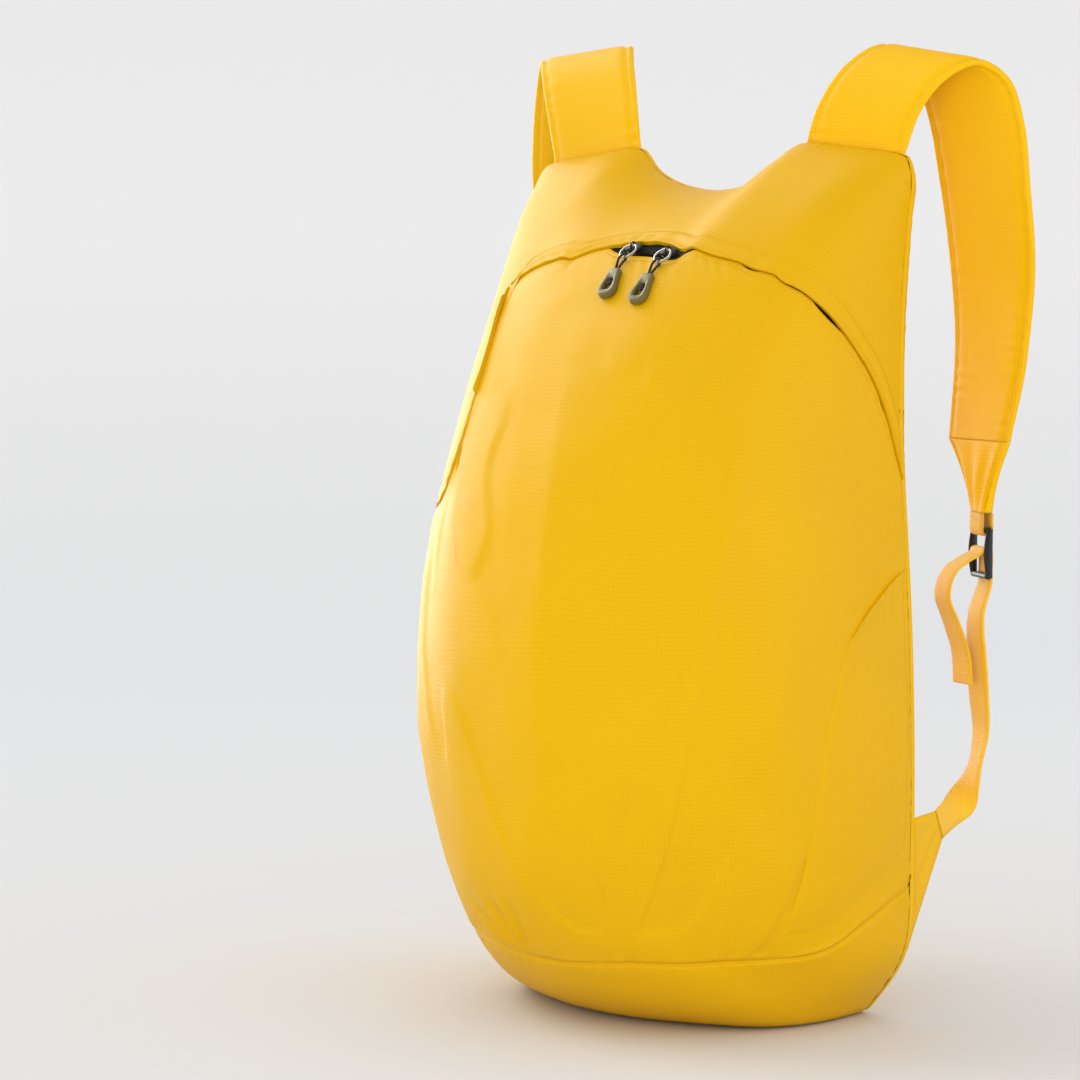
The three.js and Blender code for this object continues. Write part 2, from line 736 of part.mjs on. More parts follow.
// Side pockets, each a layer on the front panel, left open along its slanting top
const rimShare = 1 - POCKET_INSET * perMillimetre(place(0, 1));
function pocket(mirror) {
  const flip = ({ direction, reach }) => ({
    direction: mirror ? 180 - direction : direction,
    reach: Math.min(reach, rimShare),
  });
  const top = shellLine(POCKET_TOP.map(flip));
  const front = shellLine(POCKET_FRONT.map(flip));
  const foot = shellLine(POCKET_BOTTOM.map(flip));
  const low = foot(1).angle();
  const high = top(1).angle();
  const seam = mirror ? rimLine(low, high) : rimLine(low - 2 * Math.PI, high);
  const rear = (share) => seam(share).setLength(rimShare);
  const area = patch(foot, top, (v) => front(1 - v), rear);
  return layer(area, evenShares(POCKET_COLUMNS), POCKET_ROWS, LAY_GAP + FABRIC, LAY_GAP);
}
addPiece("side_pocket_right", pocket(false), "fabric");
addPiece("side_pocket_left", pocket(true), "fabric");

// The zipper's tape lies inside the shell along the seam
const tapeDepth = -FABRIC - TAPE_GAP;
function tape() {
  const low = besideLine(zipLine, -TAPE_WIDTH / 2);
  const high = besideLine(zipLine, TAPE_WIDTH / 2);
  const { first, last, columns } = innerColumns(TAPE_LEFT_OUT);
  const along = (line) => (u) => line(THREE.MathUtils.lerp(first, last, u));
  const side = (share) => (v) => low(share).multiplyScalar(1 - v).addScaledVector(high(share), v);
  const area = patch(along(low), along(high), side(first), side(last));
  return layer(area, columns, 2, tapeDepth, tapeDepth - TAPE_THICKNESS);
}
addPiece("zipper_tape", tape(), "tape");

// Solids for joining and cutting
function solid(geometry) {
  const bare = geometry.clone();
  bare.deleteAttribute("normal");
  bare.deleteAttribute("uv");
  const merged = mergeVertices(bare, 1e-4);
  return new wasm.Manifold(
    new wasm.Mesh({
      numProp: 3,
      vertProperties: Float32Array.from(merged.attributes.position.array),
      triVerts: Uint32Array.from(merged.index.array),
    }),
  );
}
function geometryOf(body) {
  const mesh = body.getMesh();
  const geometry = new THREE.BufferGeometry();
  geometry.setAttribute("position", new THREE.BufferAttribute(mesh.vertProperties, 3));
  geometry.setIndex(new THREE.BufferAttribute(mesh.triVerts, 1));
  return geometry;
}
function block(width, depth, height) {
  return new THREE.BoxGeometry(width, depth, height);
}

// The place of a slider and what hangs from it. X runs along the zipper, Y up the shell and
// Z out of it, and down is the distance hung below the slider over the shell.
function hangingFrame(direction, down) {
  const share = shareAt(zipLine, direction);
  const start = besideLine(zipLine, -mouthDrop(share) / 2)(share);
  const spot = start.clone().setLength(start.length() - down * perMillimetre(start));
  const lower = spot.clone().setLength(spot.length() - perMillimetre(spot));
  const out = shellNormal(spot);
  const up = shellPoint(spot).sub(shellPoint(lower));
  up.addScaledVector(out, -up.dot(out)).normalize();
  const along = up.clone().cross(out);
  const frame = new THREE.Matrix4().makeBasis(along, up, out);
  return frame.setPosition(shellPoint(spot));
}

// Heights above the shell's outer face
const sliderFoot = tapeDepth + TOUCH_GAP;
const sliderTop = sliderFoot + SLIDER_HEIGHT;
const ringHeight = sliderTop + TOUCH_GAP + RING_WIRE / 2;
const bridgeHole = RING_WIRE + 2 * TOUCH_GAP;
const pullHeight = TOUCH_GAP + PULL_THICKNESS / 2;

// The corners of a fitting's outline, hanging down from the origin
function cornersOf(rows, width, length) {
  const right = rows.map(({ down, wide }) => new THREE.Vector2((wide * width) / 2, -down * length));
  const left = right.map(({ x, y }) => new THREE.Vector2(-x, y));
  return [...left, ...right.reverse()];
}

function sliderShape() {
  const shape = new THREE.Shape(cornersOf(SLIDER_OUTLINE, SLIDER_WIDTH, SLIDER_LENGTH));
  const body = new THREE.ExtrudeGeometry(shape, { depth: SLIDER_HEIGHT, bevelEnabled: false });
  return body.translate(0, SLIDER_LENGTH / 2, sliderFoot).rotateZ(Math.PI / 2);
}

// The staple stands across the slider, so that the ring hangs flat on the front
function bridgeShape() {
  const half = BRIDGE_LENGTH / 2;
  const inner = half - BRIDGE_WIRE;
  const top = bridgeHole + BRIDGE_WIRE;
  const chamfer = BRIDGE_WIRE / 2;
  const right = [
    [half - chamfer, top],
    [half, top - chamfer],
    [half, -BRIDGE_ROOT],
    [inner, -BRIDGE_ROOT],
    [inner, bridgeHole],
  ].map(([x, y]) => new THREE.Vector2(x, y));
  const left = right.map(({ x, y }) => new THREE.Vector2(-x, y)).reverse();
  const shape = new THREE.Shape([...right, ...left]);
  const bridge = new THREE.ExtrudeGeometry(shape, { depth: BRIDGE_WIDTH, bevelEnabled: false });
  bridge.translate(0, 0, -BRIDGE_WIDTH / 2);
  bridge.rotateX(Math.PI / 2).rotateZ(Math.PI / 2);
  return bridge.translate(0, 0, sliderTop);
}

function slider() {
  return geometryOf(solid(sliderShape()).add(solid(bridgeShape())));
}

function pullRing() {
  const ring = new THREE.TorusGeometry(RING_RADIUS, RING_WIRE / 2, RING_SIDES, RING_STEPS);
  return ring.translate(0, -RING_RADIUS, ringHeight);
}

// The moulded end: a flat drop with a window, and a channel down to it for both strands
function pullEnd() {
  const shape = new THREE.Shape(cornersOf(PULL_OUTLINE, PULL_WIDTH, PULL_LENGTH));
  shape.holes.push(new THREE.Path(cornersOf(WINDOW_OUTLINE, WINDOW_WIDTH, PULL_LENGTH)));
  const body = new THREE.ExtrudeGeometry(shape, { depth: PULL_THICKNESS, bevelEnabled: false });
  body.translate(0, 0, -PULL_THICKNESS / 2);
  const channel = block(2 * PULL_CORD + 3 * TOUCH_GAP, PULL_LENGTH, PULL_CORD + 2 * TOUCH_GAP);
  channel.translate(0, PULL_LENGTH * (1 / 2 - KNOT_PLACE), 0);
  const end = geometryOf(solid(body).subtract(solid(channel)));
  return end.translate(0, 0, pullHeight);
}

// The pull's cord: a loop through the ring, with both strands going into the moulded end. By the
// ring, down and rise are shares of the bend about its wire.
function pullCord(direction) {
  const strand = (PULL_CORD + TOUCH_GAP) / 2;
  const turn = RING_WIRE / 2 + PULL_CORD / 2 + TOUCH_GAP;
  const endFrame = hangingFrame(direction, PULL_DROP);
  const ringFrame = hangingFrame(direction, 0);
  const inEnd = (side, down) =>
    new THREE.Vector3(side * strand, -down, pullHeight).applyMatrix4(endFrame);
  const wireDown = 2 * RING_RADIUS;
  const byRing = (side, down, rise) =>
    new THREE.Vector3(side, -wireDown - down * turn, ringHeight + rise * turn).applyMatrix4(ringFrame);
  const knot = PULL_LENGTH * KNOT_PLACE;
  const mouth = -PULL_CORD; // the strands are straight just above the moulded end
  const shift = strand / 2;
  const bend = [90, 135, 180, 225, 270].map((degrees) =>
    byRing(0, Math.cos(radians(degrees)), Math.sin(radians(degrees))),
  );
  const points = [
    inEnd(-1, knot),
    inEnd(-1, knot / 2),
    inEnd(-1, 0),
    inEnd(-1, mouth),
    byRing(-shift, 2, 1),
    ...bend,
    byRing(shift, 2, -0.6),
    inEnd(1, mouth),
    inEnd(1, 0),
    inEnd(1, knot / 2),
    inEnd(1, knot),
  ];
  const path = new THREE.CatmullRomCurve3(points, false, "centripetal");
  const section = new THREE.Shape();
  section.absarc(0, 0, PULL_CORD / 2, 0, 2 * Math.PI);
  return new THREE.ExtrudeGeometry(section, {
    steps: CORD_STEPS,
    curveSegments: 4,
    extrudePath: path,
  });
}

for (const { side, direction } of SLIDER_PLACES) {
  const frame = hangingFrame(direction, 0);
  addPiece(`zipper_slider_${side}`, slider().applyMatrix4(frame), "slider");
  addPiece(`pull_ring_${side}`, pullRing().applyMatrix4(frame), "ring");
  addPiece(`pull_cord_${side}`, pullCord(direction), "cord");
  addPiece(`pull_end_${side}`, pullEnd().applyMatrix4(hangingFrame(direction, PULL_DROP)), "moulding");
}

// A band of fabric lofted through stations, each with its middle, its width and its thickness
function band(stations, section) {
  const points = [];
  const faces = [];
  const sides = section.length;
  for (const { middle, across, out, width, thickness } of stations) {
    for (const [side, rise] of section) {
      const point = middle.clone().addScaledVector(across, (side * width) / 2);
      points.push(point.addScaledVector(out, (rise * thickness) / 2));
    }
  }
  for (let i = 0; i < stations.length - 1; i += 1) {
    for (let k = 0; k < sides; k += 1) {
      const a = i * sides + k;
      const b = i * sides + ((k + 1) % sides);
      faces.push(a, b, b + sides, a, b + sides, a + sides);
    }
  }
  const last = (stations.length - 1) * sides;
  for (let k = 1; k < sides - 1; k += 1) {
    faces.push(0, k + 1, k);
    faces.push(last, last + k, last + k + 1);
  }
  return facing(points, faces);
}

// Stations along a smooth line through knots {middle, turn, tilt, width, thickness}. The width
// may lie askew to the line, as it does where a strap is cut on a slant.
function stationsThrough(knots, count) {
  const smooth = (points, kind) => new THREE.CatmullRomCurve3(points, false, kind, 0.5);
  const line = smooth(knots.map(({ middle }) => middle), "centripetal");
  const looks = smooth(
    knots.map(({ turn, width, thickness }) => new THREE.Vector3(turn, width, thickness)),
    "catmullrom",
  );
  const tilts = smooth(knots.map(({ tilt }) => new THREE.Vector3(tilt, 0, 0)), "catmullrom");
  return Array.from({ length: count + 1 }, (_, i) => {
    const share = i / count;
    const tangent = line.getTangent(share);
    const look = looks.getPoint(share);
    const turn = radians(look.x);
    const tilt = radians(tilts.getPoint(share).x);
    const across = new THREE.Vector3(
      Math.cos(turn) * Math.cos(tilt),
      Math.sin(turn) * Math.cos(tilt),
      Math.sin(tilt),
    );
    const out = tangent.clone().cross(across).normalize();
    return { middle: line.getPoint(share), across, out, width: look.y, thickness: look.z };
  });
}

// The strap's middle line, for the right side
const crestHeight = STRAP_SEAM.up * PACK_HEIGHT + TOUCH_GAP + STRAP_RISE;
function strapKnot({ lean, back, rise, drop, wide, pad, turn, tilt }) {
  return {
    middle: new THREE.Vector3(
      (STRAP_SEAM.across * PACK_WIDTH) / 2 + lean * STRAP_LEAN,
      back * STRAP_BACK,
      crestHeight - (1 - rise) * STRAP_RISE - drop * STRAP_DROP,
    ),
    turn,
    tilt,
    width: THREE.MathUtils.lerp(STRAP_END_WIDTH, STRAP_WIDTH, wide),
    thickness: pad * STRAP_PAD,
  };
}
const strapKnots = STRAP_LINE.map(strapKnot);
const strapEnd = strapKnots[strapKnots.length - 1];
const strapStations = stationsThrough(strapKnots, STRAP_STATIONS);

// The frame of the ladder lock: X along its bars, Y up and Z towards the pack
const lockMiddle = strapEnd.middle.clone();
lockMiddle.z -= TIP_LENGTH + LOCK_DROP + TOUCH_GAP;
lockMiddle.y -= TIP_LENGTH * TIP_DRIFT;
lockMiddle.x += TIP_LENGTH * TIP_SPREAD;
const lockAcross = new THREE.Vector3(Math.cos(radians(LOCK_TURN)), Math.sin(radians(LOCK_TURN)), 0);
const lockUp = new THREE.Vector3(0, 0, 1);
const lockIn = lockAcross.clone().cross(lockUp);
const lockOut = lockIn.clone().negate();
const lockFrame = new THREE.Matrix4().makeBasis(lockAcross, lockUp, lockIn);
lockFrame.setPosition(lockMiddle);
function inLock(up, out) {
  return lockMiddle.clone().addScaledVector(lockUp, up).addScaledVector(lockOut, out);
}

const barSpread = LOCK_HEIGHT / 2 - LOCK_BAR / 2; // middle bar to each outer bar
const barClear = LOCK_BAR / 2 + TOUCH_GAP + WEBBING / 2; // bar's middle to the webbing's middle

// The middle of webbing that lies around a bar: degrees count from the side away from the pack
function aroundBar(height, degrees) {
  const angle = radians(degrees);
  return inLock(height + barClear * Math.sin(angle), barClear * Math.cos(angle));
}

function ladderLock() {
  const inner = WEBBING_WIDTH + 4 * TOUCH_GAP;
  const rail = (side) =>
    block(LOCK_RAIL, LOCK_HEIGHT, LOCK_DEPTH).translate((side * (inner + LOCK_RAIL)) / 2, 0, 0);
  const bar = (height) => {
    const radius = LOCK_BAR / 2;
    const rod = new THREE.CylinderGeometry(radius, radius, inner + LOCK_RAIL, BAR_SIDES);
    return rod.rotateZ(Math.PI / 2).translate(0, height, 0);
  };
  let lock = solid(rail(-1)).add(solid(rail(1)));
  for (const height of [-barSpread, 0, barSpread]) lock = lock.add(solid(bar(height)));
  return geometryOf(lock).applyMatrix4(lockFrame);
}

// The webbing loop that carries the ladder lock by its upper bar
function buckleLoop() {
  const straight = (barSpread + LOCK_DROP) / 2;
  const middles = [
    inLock(LOCK_DROP, barClear),
    inLock(straight, barClear),
    ...[0, -45, -90, -135, -180].map((degrees) => aroundBar(barSpread, degrees)),
    inLock(straight, -barClear),
    inLock(LOCK_DROP, -barClear),
  ];
  const knots = middles.map((middle) => webbingKnot(middle, LOCK_TURN));
  return band(stationsThrough(knots, LOOP_STATIONS), FLAT_SECTION);
}
function webbingKnot(middle, turn) {
  return { middle, turn, tilt: 0, width: WEBBING_WIDTH, thickness: WEBBING };
}

// The tapered end of the strap, from the stitched seam to the webbing loop
function strapTip() {
  const start = strapEnd.middle.clone();
  start.z -= TOUCH_GAP;
  const end = inLock(LOCK_DROP + TOUCH_GAP, 0);
  const thickness = 2 * barClear + WEBBING;
  const endWidth = WEBBING_WIDTH + 2 * TIP_EDGE;
  const knots = [
    { ...strapEnd, middle: start },
    {
      middle: start.clone().lerp(end, 0.5),
      turn: (strapEnd.turn + LOCK_TURN) / 2,
      tilt: 0,
      width: THREE.MathUtils.lerp(strapEnd.width, endWidth, TIP_TAPER),
      thickness,
    },
    { middle: end, turn: LOCK_TURN, tilt: 0, width: endWidth, thickness },
  ];
  const stations = stationsThrough(knots, TIP_STATIONS);
  stations[0].out = strapStations[STRAP_STATIONS].out;
  stations[TIP_STATIONS].out = lockOut;
  return band(stations, PADDED_SECTION);
}

// How far across the side seam is at a height
function seamAcross(height) {
  const steps = 400;
  let best = { miss: Infinity, across: 0 };
  for (let i = 0; i <= steps; i += 1) {
    const direction = radians(-89 + (178 * i) / steps);
    const radius = rimRadius(direction);
    const miss = Math.abs(BULGE_HEIGHT + radius * Math.sin(direction) - height);
    if (miss < best.miss) best = { miss, across: radius * Math.cos(direction) };
  }
  return best.across;
}

// The wing of fabric that anchors the lower webbing at the side seam
function wingRoot(height) {
  const across = seamAcross(height) - WING_FABRIC;
  const reach = (across - WING_FABRIC) / seamAcross(height);
  const crown = BACK_CROWN * (1 - reach ** 2);
  return new THREE.Vector3(across, REAR_GAP / 2 + BACK_FABRIC + crown + TOUCH_GAP, height);
}
const wingUpper = wingRoot(WING_TOP);
const wingLower = wingRoot(WING_TOP - WING_HEIGHT);
const wingEdge = new THREE.Vector3(0, WING_SLANT, -1).normalize();
const wingBack = new THREE.Vector3(0, 1, WING_SLANT).normalize();
const wingTip = new THREE.Vector3(wingUpper.x - WING_REACH / 8, WING_REACH, WING_TOP);
function lowerWing() {
  const tipLower = wingTip.clone().addScaledVector(wingEdge, WEBBING_WIDTH);
  const grid = (side) =>
    evenShares(WING_STEPS).map((v) =>
      evenShares(WING_STEPS).map((u) => {
        const root = wingUpper.clone().lerp(wingLower, u);
        const tip = wingTip.clone().lerp(tipLower, u);
        const point = root.lerp(tip, v);
        point.x += (side * WING_FABRIC) / 2;
        return point;
      }),
    );
  return wall(grid(1), grid(-1));
}

// The webbing runs back from the wing's tip, turns up behind the ladder lock, goes over its
// middle bar and comes down again as a free end
function adjusterWebbing() {
  const foot = wingTip.clone().addScaledVector(wingEdge, WEBBING_WIDTH / 2);
  const onTab = (share) => foot.clone().addScaledVector(wingBack, TOUCH_GAP + share * TAB_LENGTH);
  const turning = onTab(1);
  turning.z += WEBBING_WIDTH / 4;
  const head = inLock(-LOCK_HEIGHT / 2 - LOCK_STRAIGHT, barClear);
  const tilt = THREE.MathUtils.radToDeg(Math.atan(WING_SLANT)) - 90;
  const rising = WEBBING_LINE.map(({ up, swing, turn }) => {
    const middle = turning.clone().lerp(head, up);
    middle.y += swing * WEBBING_SWING;
    return webbingKnot(middle, turn);
  });
  const over = [0, 45, 90, 135, 180].map((degrees) => aroundBar(0, degrees));
  const tail = TAIL_LINE.map(({ down, swing, turn }) =>
    webbingKnot(inLock(-down * TAIL_LENGTH, -barClear - swing * TAIL_SWING), turn),
  );
  const tab = TAB_LINE.map((row) => ({
    ...webbingKnot(onTab(row.along), row.turn),
    tilt: tilt * row.tilt,
  }));
  const knots = [
    ...tab,
    { ...webbingKnot(turning, TAB_END.turn), tilt: tilt * TAB_END.tilt },
    ...rising,
    webbingKnot(head, LOCK_TURN),
    webbingKnot(inLock(-barSpread, barClear), LOCK_TURN),
    ...over.map((middle) => webbingKnot(middle, LOCK_TURN)),
    ...tail,
  ];
  return band(stationsThrough(knots, WEBBING_STATIONS), FLAT_SECTION);
}

// Both sides are alike: the left one is the right one seen in a mirror
function mirrored(geometry) {
  const copy = geometry.clone();
  copy.scale(-1, 1, 1);
  const faces = Array.from(copy.index.array).reverse();
  copy.setIndex(faces);
  return copy;
}
const rightPieces = [
  ["shoulder_strap", band(strapStations, PADDED_SECTION), "strap"],
  ["strap_tip", strapTip(), "strap"],
  ["buckle_loop", buckleLoop(), "webbing"],
  ["ladder_lock", ladderLock(), "buckle"],
  ["adjuster_webbing", adjusterWebbing(), "webbing"],
  ["lower_wing", lowerWing(), "fabric"],
];
for (const [name, geometry, finish] of rightPieces) {
  addPiece(`${name}_right`, geometry, finish);
  addPiece(`${name}_left`, mirrored(geometry), finish);
}

// The origin goes under the middle of the whole
const box = new THREE.Box3().setFromObject(pack);
const middle = box.getCenter(new THREE.Vector3());
pack.position.set(-middle.x, -middle.y, -box.min.z);

export default pack;
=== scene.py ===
# %% [markdown]
# # A packable backpack
#
# This lesson dresses a plain solid model of a packable backpack as a photograph would show it.
# The bag stands stuffed on a floor. Its shell is thin ripstop, drawn into seams, and an arched
# zipper crosses its front under a flap. Two plain straps arch up from its shoulders and hang
# behind it.
#
# The solid model is the fixed frame. Every piece that is made here takes the place of one or
# more of its nodes, and keeps their places.

import json
import math

import bmesh
import bpy
import numpy as np
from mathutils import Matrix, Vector, noise

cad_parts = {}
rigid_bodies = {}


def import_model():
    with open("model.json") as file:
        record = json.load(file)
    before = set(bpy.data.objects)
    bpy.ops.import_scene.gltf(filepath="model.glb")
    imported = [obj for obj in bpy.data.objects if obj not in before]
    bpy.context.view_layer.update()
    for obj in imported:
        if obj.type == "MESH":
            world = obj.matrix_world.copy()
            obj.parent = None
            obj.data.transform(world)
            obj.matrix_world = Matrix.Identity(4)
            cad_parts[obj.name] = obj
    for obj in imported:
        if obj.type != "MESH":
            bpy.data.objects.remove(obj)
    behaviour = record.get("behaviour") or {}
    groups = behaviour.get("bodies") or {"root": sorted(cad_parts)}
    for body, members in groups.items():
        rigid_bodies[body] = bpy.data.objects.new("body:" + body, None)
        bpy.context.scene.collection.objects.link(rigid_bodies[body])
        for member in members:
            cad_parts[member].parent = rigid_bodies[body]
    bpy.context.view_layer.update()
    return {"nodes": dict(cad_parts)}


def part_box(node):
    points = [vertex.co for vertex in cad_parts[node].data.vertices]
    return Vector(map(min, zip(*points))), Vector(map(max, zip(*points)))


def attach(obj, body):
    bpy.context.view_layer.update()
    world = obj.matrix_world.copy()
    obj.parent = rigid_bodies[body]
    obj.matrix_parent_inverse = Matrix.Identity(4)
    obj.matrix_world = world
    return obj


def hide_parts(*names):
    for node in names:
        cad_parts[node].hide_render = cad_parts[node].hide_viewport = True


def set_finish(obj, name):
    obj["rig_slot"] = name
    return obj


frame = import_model()
REAR_GAP = 0.4
rear_low, rear_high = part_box("back_panel")
SHIFT = np.array([0.0, rear_low.y * 1000 - REAR_GAP / 2, 0.0])
print("nodes in the frame:", len(frame["nodes"]))
print("the bag's own coordinates move by, in mm:", SHIFT.round(2).tolist())

# %% [markdown]
# All shapes below are worked out in millimetres. The rim of the shell lies in the plane y = 0,
# the front faces -Y, and SHIFT takes this to the frame's own origin when a mesh is made.
#
# The camera comes first. It stands a little above the floor, to the right of the bag's front.

# %% Camera
VIEW_TURN = 38
VIEW_RISE = 5.4
VIEW_DISTANCE = 1600
VIEW_TARGET = np.array([0.0, -60.0, 215.0])
TARGET_RIGHT = 108  # pixels from the picture's middle to the target, in a picture 1080 wide
TARGET_DOWN = 39
PICTURE = 1080
FOCAL = 3232  # pixels

turn, rise = math.radians(VIEW_TURN), math.radians(VIEW_RISE)
back_to_camera = np.array(
    [math.sin(turn) * math.cos(rise), -math.cos(turn) * math.cos(rise), math.sin(rise)]
)
eye = (VIEW_TARGET + VIEW_DISTANCE * back_to_camera + SHIFT) / 1000
camera_data = bpy.data.cameras.new("camera")
camera_data.sensor_width = 36
camera_data.lens = FOCAL * 36 / PICTURE
camera = bpy.data.objects.new("camera", camera_data)
bpy.context.scene.collection.objects.link(camera)
camera.location = eye
pitch = math.pi / 2 - rise + math.atan(TARGET_DOWN / FOCAL)
yaw = turn + math.atan(TARGET_RIGHT / FOCAL)
camera.rotation_euler = (pitch, 0, yaw)
bpy.context.scene.camera = camera
print("lens, mm:", round(camera_data.lens, 1), "eye, m:", eye.round(3).tolist())

# %% [markdown]
# ## The shell's form
#
# The shell is one round form between its rim at the back and its fullest point in front. A place
# on it is a flat vector: its angle is the direction from the fullest point, seen from the front,
# and its length is the share of the way over the surface to the rim. Seams are smooth lines
# through short tables of such places.

# %% Sizes and tables of the shell
PACK_HEIGHT = 430
PACK_WIDTH = 236
PACK_DEPTH = 167
BULGE_HEIGHT = 190
BULGE_SPREAD = 14
FLOOR_SINK = 9
FLOOR_EASE = 5
SINK_HEIGHT = 60
BACK_CROWN = 9
BACK_FABRIC = 2.4
SEAM_GAP = 1
TOUCH_GAP = 0.35
FABRIC = 1.2
EGG_POWER = 2.25
EGG_TOP = 8
RIM_FADE = 8

# direction, squareness of the shell between its rim and its fullest point
SQUARENESS = [(-90, 3.0), (-45, 2.4), (0, 2.2), (50, 1.9), (90, 1.62)]

# across as a share of half the width, up as a share of the height
BACK_OUTLINE = [
    (0, 0), (0.3, 0), (0.66, 0.002), (0.83, 0.035), (0.98, 0.095), (1, 0.19), (1, 0.31),
    (0.985, 0.44), (0.957, 0.56), (0.925, 0.68), (0.93, 0.8), (0.955, 0.9), (0.975, 0.945),
    (0.963, 0.972), (0.915, 0.985), (0.68, 0.994), (0.47, 1), (0.405, 0.995), (0.33, 0.972),
    (0.19, 0.955), (0, 0.948),
]

# direction, reach
ZIP_LINE = [
    (34, 1), (40, 0.975), (44.5, 0.952), (49, 0.913), (53.3, 0.859), (57, 0.8095),
    (60.3, 0.754), (63, 0.701), (66.5, 0.6895), (70.5, 0.6925), (75, 0.6915), (79, 0.7015),
    (83, 0.7275), (87.5, 0.736), (92.5, 0.7285), (97, 0.7125), (101.5, 0.679), (106, 0.673),
    (109.5, 0.666), (112.3, 0.65), (113.2, 0.6), (113.7, 0.53), (115.2, 0.47), (118.5, 0.43),
    (124, 0.413), (131, 0.413), (138, 0.43), (145, 0.49), (151, 0.58), (156, 0.7), (160, 0.84),
    (163, 1),
]
BOTTOM_RIGHT = [
    (-46, 1), (-50, 0.86), (-54, 0.785), (-59, 0.68), (-64, 0.605), (-71, 0.55), (-79, 0.525),
]
BOTTOM_LINE = BOTTOM_RIGHT + [(-90, 0.52)] + [(-180 - d, r) for d, r in BOTTOM_RIGHT[::-1]]
POCKET_TOP = [(1, 0.775), (8, 0.85), (16, 0.985)]
POCKET_FRONT = [(1, 0.775), (-14, 0.725), (-32, 0.7), (-45, 0.7), (-55, 0.685)]
POCKET_BOTTOM = [(-55, 0.685), (-52, 0.76), (-48, 0.86), (-44, 0.985)]
POCKET_INSET = 4

# %% The outline of the back, and the round form in front of it
TURN = 2 * math.pi


def outline_ring():
    half = np.array(BACK_OUTLINE, float) * [PACK_WIDTH / 2, PACK_HEIGHT]
    ring = np.vstack([half, half[1:-1][::-1] * [-1, 1]])
    start, end = ring[:, None], np.roll(ring, -1, 0)[:, None]
    leave = (end - np.roll(ring, 1, 0)[:, None]) / 2
    arrive = (np.roll(ring, -2, 0)[:, None] - start) / 2
    t = (np.arange(12) / 12)[None, :, None]
    curve = start + leave * t + (3 * (end - start) - 2 * leave - arrive) * t**2
    curve = curve + (2 * (start - end) + leave + arrive) * t**3
    curve = curve.reshape(-1, 2)
    curve[:, 1] -= FLOOR_SINK * np.clip(1 - curve[:, 1] / SINK_HEIGHT, 0, 1)
    return np.vstack([curve, curve[:1]])


ring = outline_ring()
ring_direction = np.unwrap(np.arctan2(ring[:, 1] - BULGE_HEIGHT, ring[:, 0]))
ring_radius = np.hypot(ring[:, 0], ring[:, 1] - BULGE_HEIGHT)
ring_length = np.concatenate([[0], np.cumsum(np.hypot(*np.diff(ring, axis=0).T))])


def rim_radius(direction):
    inside = ring_direction[0] + np.mod(direction - ring_direction[0], TURN)
    return np.interp(inside, ring_direction, ring_radius)


def eased(rows, x):
    keys, values = np.array(rows, float).T
    i = np.clip(np.searchsorted(keys, x) - 1, 0, len(keys) - 2)
    t = np.clip((x - keys[i]) / (keys[i + 1] - keys[i]), 0, 1)
    t = t * t * (3 - 2 * t)
    return values[i] + (values[i + 1] - values[i]) * t


def dome(direction, angle, power, egg, rim):
    out = np.maximum(np.cos(angle), 1e-9) ** (2 / power)
    forward = np.maximum(np.sin(angle), 1e-9) ** (2 / power)
    hold = out**RIM_FADE
    radius = (egg * (1 - hold) + rim * hold) * out
    high = BULGE_HEIGHT + radius * np.sin(direction)
    return np.stack([radius * np.cos(direction), -PACK_DEPTH * forward, high], -1)


def flattened(z):
    soft = (z + FLOOR_EASE) ** 2 / (4 * FLOOR_EASE)
    return np.where(z >= FLOOR_EASE, z, np.where(z <= -FLOOR_EASE, 0, soft))


def shell(flat):
    """The points of the shell at flat places, and the length of the way through each."""
    flat = np.asarray(flat, float)
    spots = flat.reshape(-1, 2)
    direction = np.arctan2(spots[:, 1], spots[:, 0])
    reach = np.hypot(*spots.T)
    power = eased(SQUARENESS, np.degrees(np.arcsin(np.sin(direction))))
    rise = np.sin(direction)
    height = np.where(rise > 0, PACK_HEIGHT - BULGE_HEIGHT - EGG_TOP, BULGE_HEIGHT + FLOOR_SINK)
    side = np.abs(np.cos(direction)) / (PACK_WIDTH / 2 + BULGE_SPREAD)
    egg = (side**EGG_POWER + (np.abs(rise) / height) ** EGG_POWER) ** (-1 / EGG_POWER)
    rim = rim_radius(direction)
    angles = math.pi / 4 * (1 + np.cos(math.pi * np.arange(65) / 64))
    points = dome(
        direction[:, None], angles[None], power[:, None], egg[:, None], rim[:, None]
    )
    steps = np.linalg.norm(np.diff(points, axis=1), axis=2)
    lengths = np.concatenate([np.zeros((len(spots), 1)), np.cumsum(steps, axis=1)], axis=1)
    wanted = reach * lengths[:, -1]
    step = np.clip((lengths < wanted[:, None]).sum(1) - 1, 0, 63)
    row = np.arange(len(spots))
    share = (wanted - lengths[row, step]) / steps[row, step]
    angle = angles[step] + (angles[step + 1] - angles[step]) * share
    found = dome(direction, angle, power, egg, rim)
    found[:, 2] = flattened(found[:, 2])
    return found.reshape(*flat.shape[:-1], 3), lengths[:, -1].reshape(flat.shape[:-1])


def place(direction, reach):
    angle = np.radians(direction)
    return np.stack([reach * np.cos(angle), reach * np.sin(angle)], -1)


